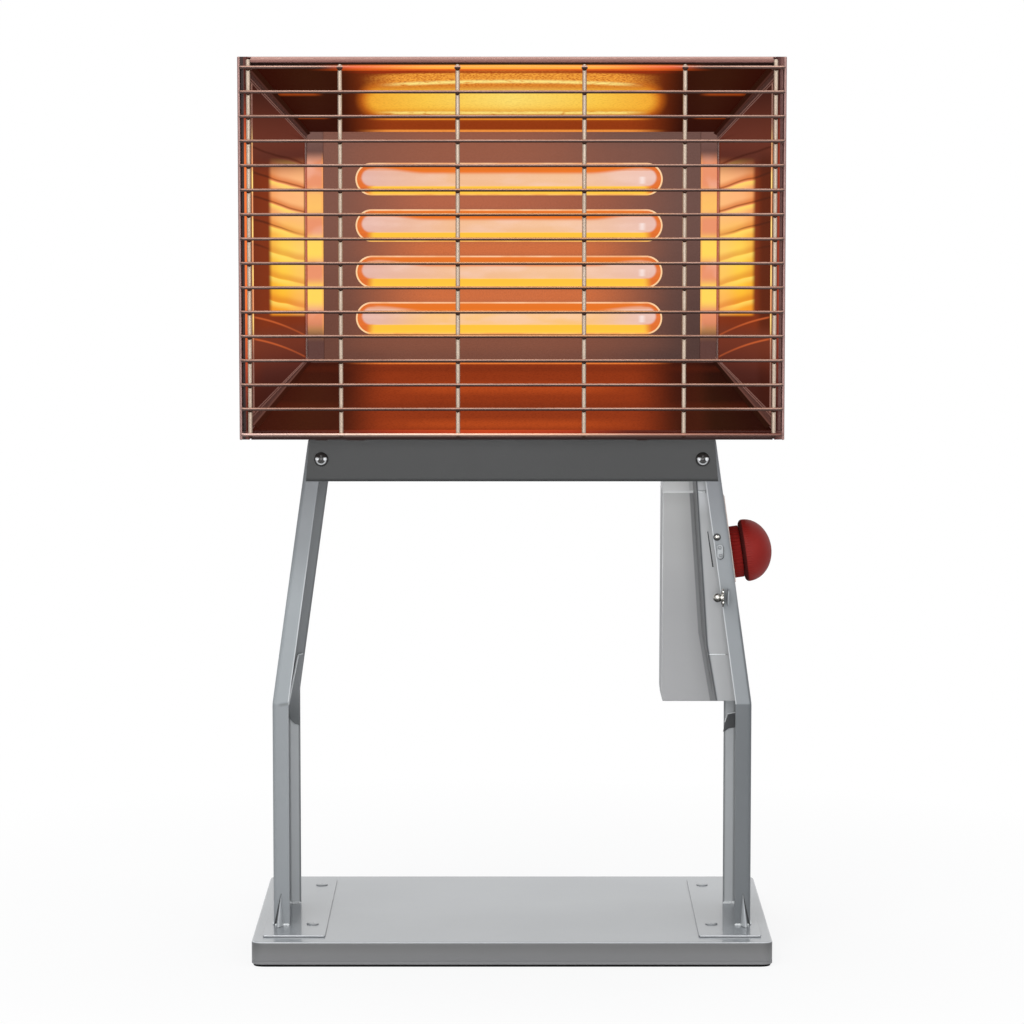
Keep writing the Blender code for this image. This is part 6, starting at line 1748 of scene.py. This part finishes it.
def soft_lamp(name, place, target, size, power):
    """A rectangular lamp at a place that shines at a target."""
    lamp = bpy.data.lights.new(name, "AREA")
    lamp.shape = "RECTANGLE"
    lamp.size, lamp.size_y = size
    lamp.energy = power
    made = bpy.data.objects.new(name, lamp)
    bpy.context.scene.collection.objects.link(made)
    made.location = place
    aim = Vector(np.array(target) - np.array(place))
    made.rotation_euler = aim.to_track_quat("-Z", "Y").to_euler()


def make_lights():
    """Four soft lamps: from the left, the right, the front and above."""
    soft_lamp("key", (-0.9, -1.9, 2.1), (0.0, 0.0, 0.35), (1.4, 1.4), 24.0)
    soft_lamp("fill", (1.6, -1.8, 1.0), (0.0, 0.0, 0.35), (1.2, 1.6), 8.0)
    soft_lamp("front", (-0.2, -3.5, 0.8), (0.0, 0.0, 0.33), (2.0, 1.4), 42.0)
    soft_lamp("top", (0.0, 0.2, 2.3), (0.0, 0.0, 0.2), (1.8, 1.4), 16.0)


def make_camera():
    """The photograph's view: straight on from 3.06 m away, looking down by 6 degrees."""
    data = bpy.data.cameras.new("camera")
    data.sensor_width = 36.0
    data.lens = 142.8
    camera = bpy.data.objects.new("camera", data)
    camera.location = (0.0, -3.0551, 0.6462)
    camera.rotation_euler = (math.radians(90.0 - 6.043), 0.0, 0.0)
    bpy.context.scene.collection.objects.link(camera)
    bpy.context.scene.camera = camera


def build():
    """The camera, every piece in its finish, the stage and the lamps."""
    make_camera()
    tray = tray_enamel()
    # Pale paint on welds, seams and rims: painted highlights.
    beads = stoved_paint("bead_highlight_enamel", "dee1e2", "f0f2f2", 0.24)
    # The bend pocket's dark sheet: painted shade.
    pocket = stoved_paint("pocket_shade_enamel", "46484a", "6e7071")
    dark_seam = stoved_paint("seam_shade", "26282a", "46484a", 0.6)
    # The box's lip, as pale as paint goes: a painted highlight.
    box_lip = stoved_paint("lip_highlight_enamel", "f9fafa", "fefefe", 0.24)
    # The cross plate's dark grey paint, made deep enough to hold the head's shade over it as well: partly
    # painted shade.
    dark = stoved_paint("dark_enamel", "2e2f2f", "666768", 0.44, 0.12, "dark_grey_paint")
    steel = bright_metal("zinc", "zinc_steel", "8c8a82", 0.26)
    dull = bright_metal("dull_zinc", "zinc_steel", "949799", 0.42, metallic=0.5)
    make_base(tray)
    make_foot_plates(tray)
    make_legs(leg_enamel(), beads, pocket)
    make_gussets(knee_enamel(), beads, rib_enamel(), dark_seam)
    make_cross_plate(dark, chrome())
    make_housing(housing_enamel(), beads, dark_seam)
    make_control_box(panel_enamel(), box_lip, steel)
    make_leg_hardware(small_zinc(), dull, dark_seam)
    make_knob(red_plastic())
    make_dial(dial_enamel(), ink())
    make_posts(post_enamel())
    make_rails(rail_enamel())
    make_casing(copper_enamel(), steel)
    make_reflectors(seam_steel())
    make_slots(slot_plate_steel(), slot_lip_steel(), trough_glow(), element_glow())
    make_guard(nickel_wire(), bright_metal("weld_metal", "guard_wire", "402c24", 0.5, 900.0))
    make_inner_pieces(steel, black_plastic(), ceramic())
    make_stage()
    make_lights()
    bpy.context.scene.view_settings.view_transform = "Standard"


build()
